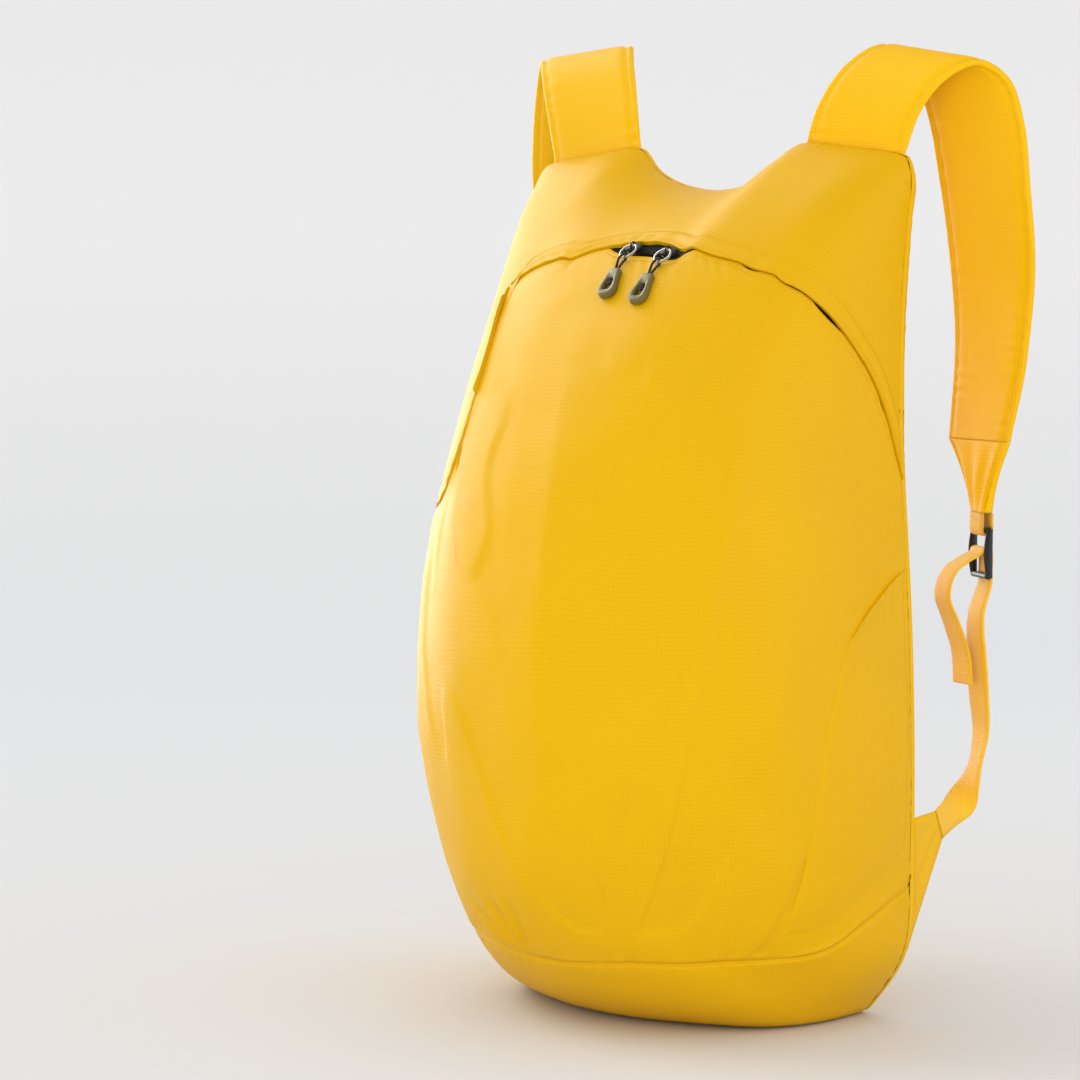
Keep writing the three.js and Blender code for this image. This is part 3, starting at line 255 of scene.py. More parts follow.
def smooth_line(points, steps=60):
    """A line through the points, in even steps of its length, as the seams are drawn."""
    points = np.asarray(points, float)
    path = np.vstack([2 * points[0] - points[1], points, 2 * points[-1] - points[-2]])
    curve = []
    for a, b, c, d in zip(path, path[1:], path[2:], path[3:]):
        one, two, three = (math.sqrt(np.linalg.norm(q - p)) for p, q in ((a, b), (b, c), (c, d)))
        leave = ((b - a) / one - (c - a) / (one + two) + (c - b) / two) * two
        arrive = ((c - b) / two - (d - b) / (two + three) + (d - c) / three) * two
        t = (np.arange(steps) / steps)[:, None]
        curve.append(
            b + leave * t + (3 * (c - b) - 2 * leave - arrive) * t**2
            + (2 * (b - c) + leave + arrive) * t**3
        )
    return np.vstack([*curve, points[-1:]])


def shell_line(rows):
    curve = smooth_line([place(d, r) for d, r in rows])
    length = np.concatenate([[0], np.cumsum(np.hypot(*np.diff(curve, axis=0).T))])

    def at(share):
        wanted = np.clip(np.asarray(share, float), 0, 1) * length[-1]
        return np.stack([np.interp(wanted, length, curve[:, k]) for k in (0, 1)], -1)

    return at


def kept_inside(spots):
    length = shell(spots)[1]
    reach = np.maximum(np.hypot(spots[..., 0], spots[..., 1]), 1e-9)
    return spots * (np.minimum(reach, 1 - REAR_GAP / 2 / length) / reach)[..., None]


def beside(line, distance):
    """The same line moved sideways, upwards where it runs to the left, in millimetres."""

    def at(share):
        share = np.asarray(share, float)
        spot = line(share)
        along = line(np.minimum(share + 0.002, 1)) - line(np.maximum(share - 0.002, 0))
        side = np.stack([along[..., 1], -along[..., 0]], -1)
        side /= np.linalg.norm(side, axis=-1, keepdims=True)
        far = distance(share) if callable(distance) else distance
        return kept_inside(spot + side * (far / shell(spot)[1])[..., None])

    return at


def rim_line(start, end):
    """A stretch of the rim between two directions, in even steps of its length."""

    def length_at(direction):
        turns = np.floor((direction - ring_direction[0]) / TURN)
        inside = np.interp(direction - turns * TURN, ring_direction, ring_length)
        return inside + turns * ring_length[-1]

    def at(share):
        length = length_at(start) + (length_at(end) - length_at(start)) * np.asarray(share)
        direction = np.interp(np.mod(length, ring_length[-1]), ring_length, ring_direction)
        return kept_inside(np.stack([np.cos(direction), np.sin(direction)], -1))

    return at


def patch(foot, head, left, right):
    """The flat places of a grid between four lines, rows from foot to head."""

    def at(us, vs):
        u, v = np.asarray(us)[None, :, None], np.asarray(vs)[:, None, None]
        rows = foot(us)[None] * (1 - v) + head(us)[None] * v
        columns = left(vs)[:, None] * (1 - u) + right(vs)[:, None] * u
        a, b, c, d = foot(0.0), foot(1.0), head(0.0), head(1.0)
        corners = a * (1 - u) * (1 - v) + b * u * (1 - v) + c * (1 - u) * v + d * u * v
        return rows + columns - corners

    return at


zip_line = shell_line(ZIP_LINE)
bottom_line = shell_line(BOTTOM_LINE)
print("the fullest point:", shell(np.array([[0.0, 1e-6]]))[0].round(1).tolist())

# %% [markdown]
# ## Where the seams part
#
# The flap and the front come apart at the two sliders, in a mouth shaped like a lens. Down the
# right leg of the zipper they part a little in three more places, so that a sliver of the dark
# tape shows.

# %% The zipper's mouth and slits
TAPE_WIDTH = 13
TAPE_GAP = 1.5
ZIP_MOUTH = 9.6
MOUTH_LENGTH = 55
MOUTH_POWER = 3
MOUTH_MIDDLE = 85.6
SLIDERS = [("left", 89.0), ("right", 81.3)]
shares = np.linspace(0, 1, 2001)


def share_at(line, direction):
    spots = line(shares)
    spots = spots / np.linalg.norm(spots, axis=1, keepdims=True)
    return shares[np.argmin(np.linalg.norm(spots - place(direction, 1), axis=1))]


def length_over(line):
    return np.linalg.norm(np.diff(shell(line(np.linspace(0, 1, 81)))[0], axis=0), axis=1).sum()


zip_length = length_over(zip_line)
bottom_length = length_over(bottom_line)
mouth_share = share_at(zip_line, MOUTH_MIDDLE)
mouth_half = MOUTH_LENGTH / 2 / zip_length

# direction of each slit's middle, its length and how far it opens, in mm
SLITS = [(68, 10, 0.9), (57, 24, 1.3), (46, 12, 0.8)]
slits = [(share_at(zip_line, d), length / 2 / zip_length, wide) for d, length, wide in SLITS]


def mouth_drop(share):
    offset = np.minimum(np.abs(share - mouth_share) / mouth_half, 1)
    return ZIP_MOUTH * (1 - offset**MOUTH_POWER)


def parted(share):
    drop = mouth_drop(share)
    for middle, half, wide in slits:
        drop = drop + wide * np.clip(1 - ((share - middle) / half) ** 2, 0, 1)
    return drop


HEM_GAP = 0.15
flap_edge = beside(zip_line, HEM_GAP)
front_edge = beside(zip_line, lambda share: -HEM_GAP - parted(share))
front_foot = beside(bottom_line, 0.02)
bottom_edge = beside(bottom_line, -0.02)
print("zipper, mm:", round(zip_length), " bottom seam, mm:", round(bottom_length))

# %% [markdown]
# ## Materials
#
# Each material is a small network of nodes. The cloth's threads follow the mesh's own
# coordinates, which are in metres along and across the cloth, so the ripstop grid keeps its true
# size on every panel.

# %% A short way to write materials


class Finish:
    def __init__(self, name, color, roughness, **constants):
        self.material = bpy.data.materials.new(name)
        self.material.use_nodes = True
        self.tree = self.material.node_tree
        self.shader = self.tree.nodes["Principled BSDF"]
        self.color = (*color, 1.0)
        self.material.diffuse_color = self.color
        self.set("Base Color", self.color)
        self.set("Roughness", roughness)
        for key, value in constants.items():
            self.set(key.replace("_", " "), value)

    def set(self, key, value):
        socket = self.shader.inputs[key]
        if isinstance(value, bpy.types.NodeSocket):
            self.tree.links.new(value, socket)
        else:
            socket.default_value = value

    def node(self, kind, output, inputs=(), **settings):
        node = self.tree.nodes.new(kind)
        for key, value in settings.items():
            setattr(node, key, value)
        for key, value in dict(inputs).items():
            if isinstance(value, bpy.types.NodeSocket):
                self.tree.links.new(value, node.inputs[key])
            else:
                node.inputs[key].default_value = value
        return node.outputs[output]

    def math(self, operation, *values):
        return self.node("ShaderNodeMath", 0, dict(enumerate(values)), operation=operation)

    def mix(self, factor, first, second):
        return self.node(
            "ShaderNodeMix", 2, {0: factor, 6: first, 7: second}, data_type="RGBA"
        )

    def noise(self, scale, detail=2.0, vector=None):
        inputs = {"Scale": scale, "Detail": detail}
        if vector is None:
            vector = self.node("ShaderNodeTexCoord", "Object")
        return self.node("ShaderNodeTexNoise", 0, {"Vector": vector, **inputs})

    def bump(self, height, strength, distance, normal=None):
        inputs = {"Height": height, "Strength": strength, "Distance": distance}
        if normal is not None:
            inputs["Normal"] = normal
        return self.node("ShaderNodeBump", 0, inputs)

    def shaded(self, factor):
        """The base colour, darkened or lightened by a factor."""
        low = tuple(c * 0.62 for c in self.color[:3]) + (1.0,)
        high = tuple(min(c * 1.18, 1.0) for c in self.color[:3]) + (1.0,)
        self.set("Base Color", self.mix(factor, low, high))


def threads(finish, pitch, width, along="UVMap"):
    """Lines across the cloth in both directions, one every pitch metres."""
    uv = finish.node("ShaderNodeUVMap", 0, uv_map="cloth")
    split = finish.tree.nodes.new("ShaderNodeSeparateXYZ")
    finish.tree.links.new(uv, split.inputs[0])
    lines = []
    for axis in (0, 1):
        cell = finish.math("FRACT", finish.math("DIVIDE", split.outputs[axis], pitch))
        off = finish.math("ABSOLUTE", finish.math("SUBTRACT", cell, 0.5))
        off = finish.math("MULTIPLY", off, pitch / width * 2)
        lines.append(finish.math("MAXIMUM", finish.math("SUBTRACT", 1.0, off), 0.0))
    return lines


RIP_PITCH, RIP_WIDTH = 0.0021, 0.0006  # metres
YARN_PITCH = 0.0005


def ripstop(name, color, roughness=0.44):
    finish = Finish(name, color, roughness)
    finish.set("Specular IOR Level", 0.12)
    one, two = threads(finish, RIP_PITCH, RIP_WIDTH)
    grid = finish.math("MAXIMUM", one, two)
    fine_one, fine_two = threads(finish, YARN_PITCH, YARN_PITCH)
    weave = finish.math("MULTIPLY", finish.math("SUBTRACT", fine_one, fine_two), 0.3)
    relief = finish.math("ADD", grid, weave)
    soft = finish.noise(18.0, 3.0)
    tone = finish.math("MULTIPLY_ADD", soft, 0.14, 0.61)
    tone = finish.math("SUBTRACT", tone, finish.math("MULTIPLY", grid, 0.13))
    finish.shaded(tone)
    finish.set("Roughness", finish.math("MULTIPLY_ADD", soft, 0.1, roughness - 0.05))
    crumple = finish.noise(70.0, 4.0)
    normal = finish.bump(crumple, 0.3, 0.0009)
    finish.set("Normal", finish.bump(relief, 0.5, 0.00012, normal))
    return finish.material


YELLOW = (0.75, 0.415, 0.001)
shell_cloth = ripstop("shell_ripstop", YELLOW)
strap_cloth = ripstop("strap_ripstop", YELLOW, 0.5)
back_cloth = ripstop("back_ripstop", (0.81, 0.455, 0.002), 0.5)


def woven(name, color, rib):
    finish = Finish(name, color, 0.7, Sheen_Weight=0.15)
    one, two = threads(finish, rib, rib)
    relief = finish.math("ADD", one, finish.math("MULTIPLY", two, 0.6))
    finish.shaded(finish.math("MULTIPLY_ADD", relief, 0.12, 0.5))
    finish.set("Normal", finish.bump(relief, 0.6, 0.00025))
    return finish.material


webbing_cloth = woven("webbing_weave", (0.8, 0.44, 0.003), 0.0011)
tape_cloth = woven("zipper_tape_weave", (0.012, 0.011, 0.011), 0.0006)


def hard(name, color, roughness, metallic=0.0, grain=260.0, relief=0.00006):
    finish = Finish(name, color, roughness, Metallic=metallic)
    speck = finish.noise(grain, 3.0)
    finish.shaded(finish.math("MULTIPLY_ADD", speck, 0.3, 0.5))
    finish.set("Roughness", finish.math("MULTIPLY_ADD", speck, 0.2, roughness - 0.1))
    finish.set("Normal", finish.bump(speck, 0.25, relief))
    return finish.material


slider_paint = hard("slider_paint", (0.02, 0.02, 0.018), 0.35, 0.3)
ring_steel = hard("ring_steel", (0.62, 0.6, 0.55), 0.22, 1.0)
moulded = hard("pull_moulding", (0.15, 0.125, 0.035), 0.42)
buckle_plastic = hard("buckle_plastic", (0.012, 0.012, 0.012), 0.36)
tooth_nylon = hard("coil_nylon", (0.015, 0.014, 0.013), 0.4)


def cord_finish(name, color):
    finish = Finish(name, color, 0.7, Sheen_Weight=0.2)
    wave = finish.node(
        "ShaderNodeTexWave", 1,
        {"Vector": finish.node("ShaderNodeTexCoord", "Object"), "Scale": 900.0},
        bands_direction="DIAGONAL",
    )
    finish.shaded(wave)
    finish.set("Normal", finish.bump(wave, 0.6, 0.0002))
    return finish.material


pull_braid = cord_finish("pull_braid", (0.016, 0.01, 0.007))
print("materials:", len(bpy.data.materials))

# %% [markdown]
# ## Making meshes
#
# Panels and bands are grids of points. A grid's cloth coordinates are its real lengths, measured
# over its own rows and columns, and its edges turn in by a few rows, as a hem does.

# %% Meshes from grids


def add_piece(name, points, faces, material, slot, nodes=(), uv=None):
    mesh = bpy.data.meshes.new(name)
    mesh.from_pydata(((np.asarray(points) + SHIFT) / 1000).tolist(), [], faces)
    if uv is not None:
        corner = np.zeros(len(mesh.loops), int)
        mesh.loops.foreach_get("vertex_index", corner)
        mesh.uv_layers.new(name="cloth").data.foreach_set("uv", (uv[corner] / 1000).ravel())
    mesh.materials.append(material)
    mesh.shade_smooth()
    piece = bpy.data.objects.new(name, mesh)
    bpy.context.scene.collection.objects.link(piece)
    if nodes:
        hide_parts(*nodes)
    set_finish(piece, slot)
    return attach(piece, "root")


def grid_faces(rows, columns, closed=False):
    i, j = np.meshgrid(
        np.arange(rows - 1), np.arange(columns if closed else columns - 1), indexing="ij"
    )
    k = (j + 1) % columns
    corners = [i * columns + j, i * columns + k, (i + 1) * columns + k, (i + 1) * columns + j]
    return np.stack(corners, -1).reshape(-1, 4).tolist()


def run(points, axis):
    steps = np.linalg.norm(np.diff(points, axis=axis), axis=2)
    zero = np.zeros_like(np.take(steps, [0], axis))
    return np.concatenate([zero, np.cumsum(steps, axis=axis)], axis=axis)


def normals_of(grid, toward):
    across, up = np.gradient(grid, axis=1), np.gradient(grid, axis=0)
    normal = np.cross(across, up)
    normal /= np.maximum(np.linalg.norm(normal, axis=2, keepdims=True), 1e-9)
    middle = normal[len(normal) // 2, normal.shape[1] // 2]
    return normal if middle @ toward > 0 else -normal


def rough(points, size, shift=0.0):
    flat = points.reshape(-1, 3) / size + shift
    return np.array([noise.noise(Vector(p)) for p in flat]).reshape(points.shape[:-1])


def ripple(length, wave):
    slow = np.sin(TURN * length / (wave * 5.3) + 1.1)
    return np.sin(TURN * length / wave + 2.2 * slow) * (0.62 + 0.38 * np.sin(length / wave + 2))


LIP_ROWS = 3
HOLD = 22  # how far from a seam its own line still holds the cloth, in mm
LIP_STEP = 0.8


def hem(grid, normal, lip=LIP_ROWS):
    """The grid with rows added all round that turn in under its edge, and their depth."""
    rows, columns = grid.shape[:2]
    row, column = np.arange(rows + 2 * lip), np.arange(columns + 2 * lip)
    i = np.maximum(lip - row, row - rows - lip + 1)
    j = np.maximum(lip - column, column - columns - lip + 1)
    depth = np.maximum(np.maximum(i, 0)[:, None], np.maximum(j, 0)[None]) * LIP_STEP
    pad = ((lip, lip), (lip, lip), (0, 0))
    return np.pad(grid, pad, "edge") - np.pad(normal, pad, "edge") * depth[..., None]


def blurred(grid, axis, reach):
    """The grid averaged along one axis over about reach points, with its ends held."""
    grid = np.moveaxis(grid, axis, 0)
    window = np.exp(-0.5 * (np.arange(-3 * reach, 3 * reach + 1) / reach) ** 2)
    pad = 3 * reach
    before = 2 * grid[:1] - grid[pad:0:-1]
    after = 2 * grid[-1:] - grid[-2 : -pad - 2 : -1]
    long = np.concatenate([before, grid, after])
    out = sum(w * long[k : k + len(grid)] for k, w in enumerate(window / window.sum()))
    return np.moveaxis(out, 0, axis)


def drawn_taut(grid, edges, spread, hold):
    """Cloth drawn tight between its seams: creases of the form are pulled flat inside them."""
    rows, columns = grid.shape[:2]
    reach_up = max(2, round(spread / (edges["up"][-1].mean() / rows)))
    reach_across = max(2, round(spread / (edges["along"][:, -1].mean() / columns)))
    reach_up, reach_across = min(reach_up, (rows - 2) // 3), min(reach_across, (columns - 2) // 3)

    def soft(points):
        return blurred(blurred(points, 0, reach_up), 1, reach_across)

    smooth = soft(grid)
    smooth = smooth + soft(grid - smooth)
    edge = np.minimum.reduce([edges[k] for k in ("foot", "head", "left", "right")])
    share = np.clip(edge / hold, 0, 1)
    share = (share * share * (3 - 2 * share))[..., None]
    return grid + (smooth - grid) * share


# A short cloth trial gives the front a little unevenness. It is a coarse copy of the front,
# pinned at its seams. The pressure doesn't hold it up and its middle sags far inwards, so its
# broad movement is taken off again. What is left is kept very small. The shape of the front, its
# ridge and its folds come from the tables further down, and not from this trial.
SIM_ROWS, SIM_COLUMNS = 84, 100
SIM_FRAMES = 24
SLACK = 0.012  # how much longer the cloth is than the way between its seams
PUFF = 1.2
FOLD_LIMIT = 0.55  # mm
TAUT_ABOVE = 0.55  # share of the height above which the zipper holds the cloth taut
POCKET_START = 0.62  # share of the half width beyond which a pocket can lie on the front
KEPT_WAVES = 22  # folds wider than this stay with the form, in mm


def settled(name, grid, normal):
    """Distance along the normal that slack, pinned cloth moves in a short trial, in mm."""
    rows, columns = grid.shape[:2]
    picked = np.ix_(
        np.linspace(0, rows - 1, SIM_ROWS).round().astype(int),
        np.linspace(0, columns - 1, SIM_COLUMNS).round().astype(int),
    )
    start, out = grid[picked], normal[picked]
    points = start.reshape(-1, 3)
    faces = grid_faces(SIM_ROWS, SIM_COLUMNS)
    middle = (SIM_ROWS // 2) * (SIM_COLUMNS - 1) + SIM_COLUMNS // 2
    if normal_of_face(points, faces[middle]) @ out[SIM_ROWS // 2, SIM_COLUMNS // 2] < 0:
        faces = [face[::-1] for face in faces]
    mesh = bpy.data.meshes.new(name)
    mesh.from_pydata((points / 1000).tolist(), [], faces)
    trial = bpy.data.objects.new(name, mesh)
    bpy.context.scene.collection.objects.link(trial)
    spots = np.arange(SIM_ROWS * SIM_COLUMNS).reshape(SIM_ROWS, SIM_COLUMNS)
    border = np.unique(np.concatenate([spots[0], spots[-1], spots[:, 0], spots[:, -1]]))
    trial.vertex_groups.new(name="seams").add(border.tolist(), 1.0, "REPLACE")
    cloth_of = trial.modifiers.new("cloth", "CLOTH")
    given = {
        "quality": 6, "mass": 0.08, "tension_stiffness": 18, "compression_stiffness": 10,
        "shear_stiffness": 6, "bending_stiffness": 0.12, "vertex_group_mass": "seams",
        "pin_stiffness": 1, "shrink_min": -SLACK, "use_pressure": True,
        "uniform_pressure_force": PUFF,
    }
    for key, value in given.items():
        setattr(cloth_of.settings, key, value)
    cloth_of.collision_settings.use_collision = False
    cloth_of.point_cache.frame_start, cloth_of.point_cache.frame_end = 1, SIM_FRAMES
    for step in range(1, SIM_FRAMES + 1):
        bpy.context.scene.frame_set(step)
    ended = trial.evaluated_get(bpy.context.evaluated_depsgraph_get()).data
    found = np.zeros(len(points) * 3)
    ended.vertices.foreach_get("co", found)
    moved = ((found.reshape(start.shape) * 1000 - start) * out).sum(-1)
    bpy.data.objects.remove(trial)
    bpy.data.meshes.remove(mesh)
    bpy.context.scene.frame_set(1)
    print("cloth settled:", name, "moved, mm:", moved.min().round(1), moved.max().round(1))
    at_rows = np.linspace(0, SIM_ROWS - 1, rows)
    at_columns = np.linspace(0, SIM_COLUMNS - 1, columns)
    wide = np.stack([np.interp(at_columns, np.arange(SIM_COLUMNS), row) for row in moved])
    full = np.stack([np.interp(at_rows, np.arange(SIM_ROWS), column) for column in wide.T], 1)
    return blurred(blurred(full[..., None], 0, 2), 1, 2)[..., 0]


def panel(name, area, us, vs, relief, material, slot, nodes, spread=0, slack=False):
    flat = area(us, vs)
    grid, length = shell(flat)
    normal = normals_of(grid, np.array([0.0, -1.0, 0.0]))
    middle = grid.mean((0, 1)) - [0, -PACK_DEPTH / 2, BULGE_HEIGHT]
    if (normal.mean((0, 1)) @ middle) < 0:
        normal = -normal
    across, up = run(grid, 1), run(grid, 0)
    edges = {
        "foot": up, "head": up[-1:] - up, "left": across, "right": across[:, -1:] - across,
        "along": across, "up": up,
    }
    if spread:
        grid = drawn_taut(grid, edges, spread, HOLD)
        normal = normals_of(grid, normal[len(normal) // 2, normal.shape[1] // 2])
    height = relief(flat, grid, length, edges)
    if slack:
        moved = settled(name, grid, normal)
        broad = blurred(blurred(moved[..., None], 0, KEPT_WAVES), 1, KEPT_WAVES)[..., 0]
        bare = np.clip((POCKET_START - np.abs(flat[..., 0])) / 0.12, 0, 1)
        bare = bare * np.clip((TAUT_ABOVE - flat[..., 1]) / 0.25, 0, 1)
        height = height + bare * FOLD_LIMIT * np.tanh((moved - broad) / FOLD_LIMIT)
    grid = grid + normal * height[..., None]
    closed = hem(grid, normal)
    warp = across - across[:, across.shape[1] // 2][:, None]
    uv = np.pad(np.stack([warp, up], -1), ((LIP_ROWS,) * 2,) * 2 + ((0, 0),), "edge")
    rows, columns = closed.shape[:2]
    faces = grid_faces(rows, columns)
    points = closed.reshape(-1, 3)
    outward = normal[len(normal) // 2, normal.shape[1] // 2]
    if normal_of_face(points, faces[len(faces) // 2]) @ outward < 0:
        faces = [f[::-1] for f in faces]
    return add_piece(name, points, faces, material, slot, nodes, uv.reshape(-1, 2))


def normal_of_face(points, face):
    a, b, c = (points[k] for k in face[:3])
    return np.cross(b - a, c - a)


# %% [markdown]
# ## The cloth's relief
#
# A sewn seam lies in a shallow valley, with small puckers beside it. Longer folds are soft
# ridges and hollows: each has a place, a lean, a length, a width and a height. A broad soft ridge
# runs down the middle of the front, and the light from the left ends on it.

# %% Folds and puckers
# direction, reach, lean in degrees from upright, length, width, height (mm)
FOLDS = [
    (-104.5, 0.5, -36, 15, 2.6, 1.3), (-102.3, 0.487, -33, 14, 1.8, -1.5),
    (-100, 0.475, -27, 16, 2.4, 1.9), (-98, 0.462, -20, 15, 1.8, -1.5),
    (-96.3, 0.46, -8, 17, 2.4, 1.6), (-94.3, 0.465, 4, 17, 2.2, -1.1),
    (-110, 0.56, 40, 24, 5.0, -0.9), (-12, 0.57, -6, 70, 18, 0.8), (-45, 0.63, -20, 26, 18, 1.2),
    (-30, 0.52, -12, 60, 9, -0.5), (150, 0.6, -20, 60, 16, -0.7), (175, 0.65, -8, 80, 18, 0.8),
    (-128, 0.7, 45, 36, 7, 0.8), (-60, 0.5, 10, 30, 8, -0.5),
]
# up and right of the fullest point, as shares of the way to the rim
RIDGE = [(-0.4, 0), (-0.23, 0.056), (0.02, 0.078), (0.2, 0.058), (0.46, 0.016), (0.62, -0.03)]
RIDGE_HEIGHT = 4.6
RIDGE_WIDTH = 27
RIDGE_SOFT = 3.5


def folds(flat, length):
    height = np.zeros(flat.shape[:-1])
    for direction, reach, lean, long, wide, tall in FOLDS:
        offset = (flat - place(direction, reach)) * length[..., None]
        angle = math.radians(lean)
        along = offset[..., 0] * math.sin(angle) + offset[..., 1] * math.cos(angle)
        cross = offset[..., 0] * math.cos(angle) - offset[..., 1] * math.sin(angle)
        height += tall * np.exp(-((along / long) ** 2) - (cross / wide) ** 2)
    return height


def front_ridge(flat, length):
    ups, rights = np.array(RIDGE).T
    cross = (flat[..., 0] - np.interp(flat[..., 1], ups, rights)) * length
    fade = np.clip((flat[..., 1] + 0.5) / 0.2, 0, 1) * np.clip((0.66 - flat[..., 1]) / 0.4, 0, 1)
    fade = fade * fade * (3 - 2 * fade)
    return RIDGE_HEIGHT * fade * np.exp(-np.sqrt(cross**2 + RIDGE_SOFT**2) / RIDGE_WIDTH)


def seam(distance, length, depth=1.0, reach=9.0, wave=7.5, tall=0.45):
    valley = -depth * np.exp(-((distance / 1.7) ** 2))
    return valley + tall * ripple(length, wave) * np.exp(-distance / reach) * np.minimum(
        distance / 2.5, 1
    )


def cloth(grid):
    return 0.9 * rough(grid, 60.0) + 0.35 * rough(grid, 22.0, 5.0)


def front_relief(flat, grid, length, e):
    flap = seam(e["head"], e["along"], 0.5, 8, 8.5, 0.4)
    stitched = -0.35 * np.exp(-(((e["head"] - 3.2) / 0.8) ** 2))
    foot = seam(e["foot"], e["along"], 1.1, 9, 9.0, 0.5)
    sides = seam(e["left"], e["up"], 1.0) + seam(e["right"], e["up"], 1.0)
    edge = np.minimum.reduce([e["head"], e["foot"], e["left"], e["right"]])
    body = (folds(flat, length) + front_ridge(flat, length) + cloth(grid)) * np.minimum(edge / 8, 1)
    return flap + stitched + foot + sides + body


def yoke_relief(flat, grid, length, e):
    edge = e["foot"]
    roll = 0.9 * np.exp(-((edge / 2.4) ** 2))
    stitched = -0.6 * np.exp(-(((edge - 10.0) / 1.1) ** 2))
    hump = 0.6 * np.exp(-(((edge - 6.5) / 2.6) ** 2))
    top = seam(e["head"], e["along"], 1.0, 8, 8, 0.4)
    body = cloth(grid) * np.minimum(np.minimum(edge, e["head"]) / 8, 1)
    return roll + stitched + hump + top + body + 0.3 * ripple(e["along"], 11) * np.exp(-edge / 9)


def bottom_relief(flat, grid, length, e):
    head = seam(e["foot"], e["along"], 1.1, 9, 9.0, 0.5)
    rear = seam(e["head"], e["along"], 1.0, 8, 8, 0.4)
    lifted = np.clip(grid[..., 2] / 12, 0, 1)
    body = cloth(grid) * np.minimum(np.minimum(e["foot"], e["head"]) / 8, 1) * lifted
    return np.maximum(head + rear + body, -grid[..., 2])


def seam_shares(count):
    """Shares along the zipper's seam, closer together at its mouth."""
    wide = np.linspace(0, 1, 4000)
    weight = 1 + 2.2 * np.exp(-(((wide - mouth_share) / (1.6 * mouth_half)) ** 2))
    run_up = np.concatenate([[0], np.cumsum((weight[1:] + weight[:-1]) / 2)])
    return np.interp(np.linspace(0, run_up[-1], count), run_up, wide)


def end_side(foot, head, end):
    low = math.atan2(*foot(end)[::-1])
    high = math.atan2(*head(end)[::-1])
    if end == 1.0:
        low, high = low % TURN, high % TURN
    return rim_line(low, high)


front_ends = [end_side(front_foot, front_edge, end) for end in (0.0, 1.0)]
front_area = patch(front_foot, front_edge, *front_ends)


def even(count):
    return np.linspace(0, 1, count)


def hem_rows(count):
    """Shares that lie closer together at both ends."""
    x = even(count)
    return x - 0.11 * np.sin(TURN * x)


panel(
    "front_cloth", front_area, seam_shares(300), hem_rows(250), front_relief,
    shell_cloth, "shell_fabric", ["front_panel"], 14, True,
)


def margin_area(line, trim=0.004):
    first, last = trim, 1 - trim

    def inner(u):
        return line(first + (last - first) * np.asarray(u))

    start, end = (math.atan2(*inner(x)[::-1]) for x in (0.0, 1.0))
    if end < start and line is flap_edge:
        end += TURN
    if line is bottom_edge and end > start:
        end -= TURN
    outer = rim_line(start, end)

    def side(x):
        def at(v):
            share = np.asarray(v)[..., None]
            return inner(x) * (1 - share) + outer(x) * share

        return at

    return patch(inner, outer, side(0.0), side(1.0))


panel(
    "yoke_cloth", margin_area(flap_edge), seam_shares(300), hem_rows(80), yoke_relief,
    shell_cloth, "shell_fabric", ["yoke"], 11,
)
panel(
    "bottom_cloth", margin_area(bottom_edge), even(240), hem_rows(90), bottom_relief,
    shell_cloth, "shell_fabric", ["bottom_panel"],
)
print("shell panels made")

# %% [markdown]
# ## The back
#
# The back panel is a doubled layer, crowned towards the wearer, and sewn all round.

# %% Back panel
def back_panel():
    def arc(start, end):
        line = rim_line(math.radians(start), math.radians(end))

        def at(share):
            spot = line(share)
            return spot / np.linalg.norm(spot, axis=-1, keepdims=True)

        return at

    area = patch(arc(-135, -45), arc(135, 45), arc(-135, -225), arc(-45, 45))
    flat = area(even(150), even(170))
    direction = np.arctan2(flat[..., 1], flat[..., 0])
    reach = np.hypot(flat[..., 0], flat[..., 1])
    radius = rim_radius(direction) * reach
    grid = np.stack(
        [
            radius * np.cos(direction),
            REAR_GAP / 2 + BACK_CROWN * (1 - reach**2) + BACK_FABRIC,
            flattened(BULGE_HEIGHT + radius * np.sin(direction)),
        ],
        -1,
    )
    normal = normals_of(grid, np.array([0.0, 1.0, 0.0]))
    across, up = run(grid, 1), run(grid, 0)
    edge = np.minimum.reduce([across, across[:, -1:] - across, up, up[-1:] - up])
    side_near = np.minimum(across, across[:, -1:] - across) < np.minimum(up, up[-1:] - up)
    around = np.where(side_near, up, across)
    height = -1.4 * np.exp(-((edge / 1.6) ** 2)) - 0.5 * np.exp(-(((edge - 5) / 0.9) ** 2))
    height += 0.4 * ripple(around, 8.0) * np.exp(-edge / 8) * np.minimum(edge / 2.5, 1)
    height += cloth(grid) * np.minimum(edge / 8, 1)
    grid = grid + normal * height[..., None]
    closed = hem(grid, normal)
    uv = np.pad(np.stack([across, up], -1), ((LIP_ROWS,) * 2,) * 2 + ((0, 0),), "edge")
    faces = grid_faces(*closed.shape[:2])
    points = closed.reshape(-1, 3)
    if normal_of_face(points, faces[len(faces) // 2])[1] < 0:
        faces = [f[::-1] for f in faces]
    return add_piece(
        "back_cloth", points, faces, back_cloth, "back_fabric", ["back_panel"], uv.reshape(-1, 2)
    )


back_panel()

# %% [markdown]
# ## Side pockets
#
# A pocket is one more layer of cloth, sewn along three sides and open along its slanting top,
# where a hem is folded over. Its foot goes down into the front's cloth on purpose, so that it
# shares the bottom seam. It could be cut out of the front's own grid, but a layer of its own
# keeps its hem free.

# %% Side pockets
LAY_GAP = 0.7
FOOT_FADE = 26  # over this height the pocket goes down into the bottom seam, mm


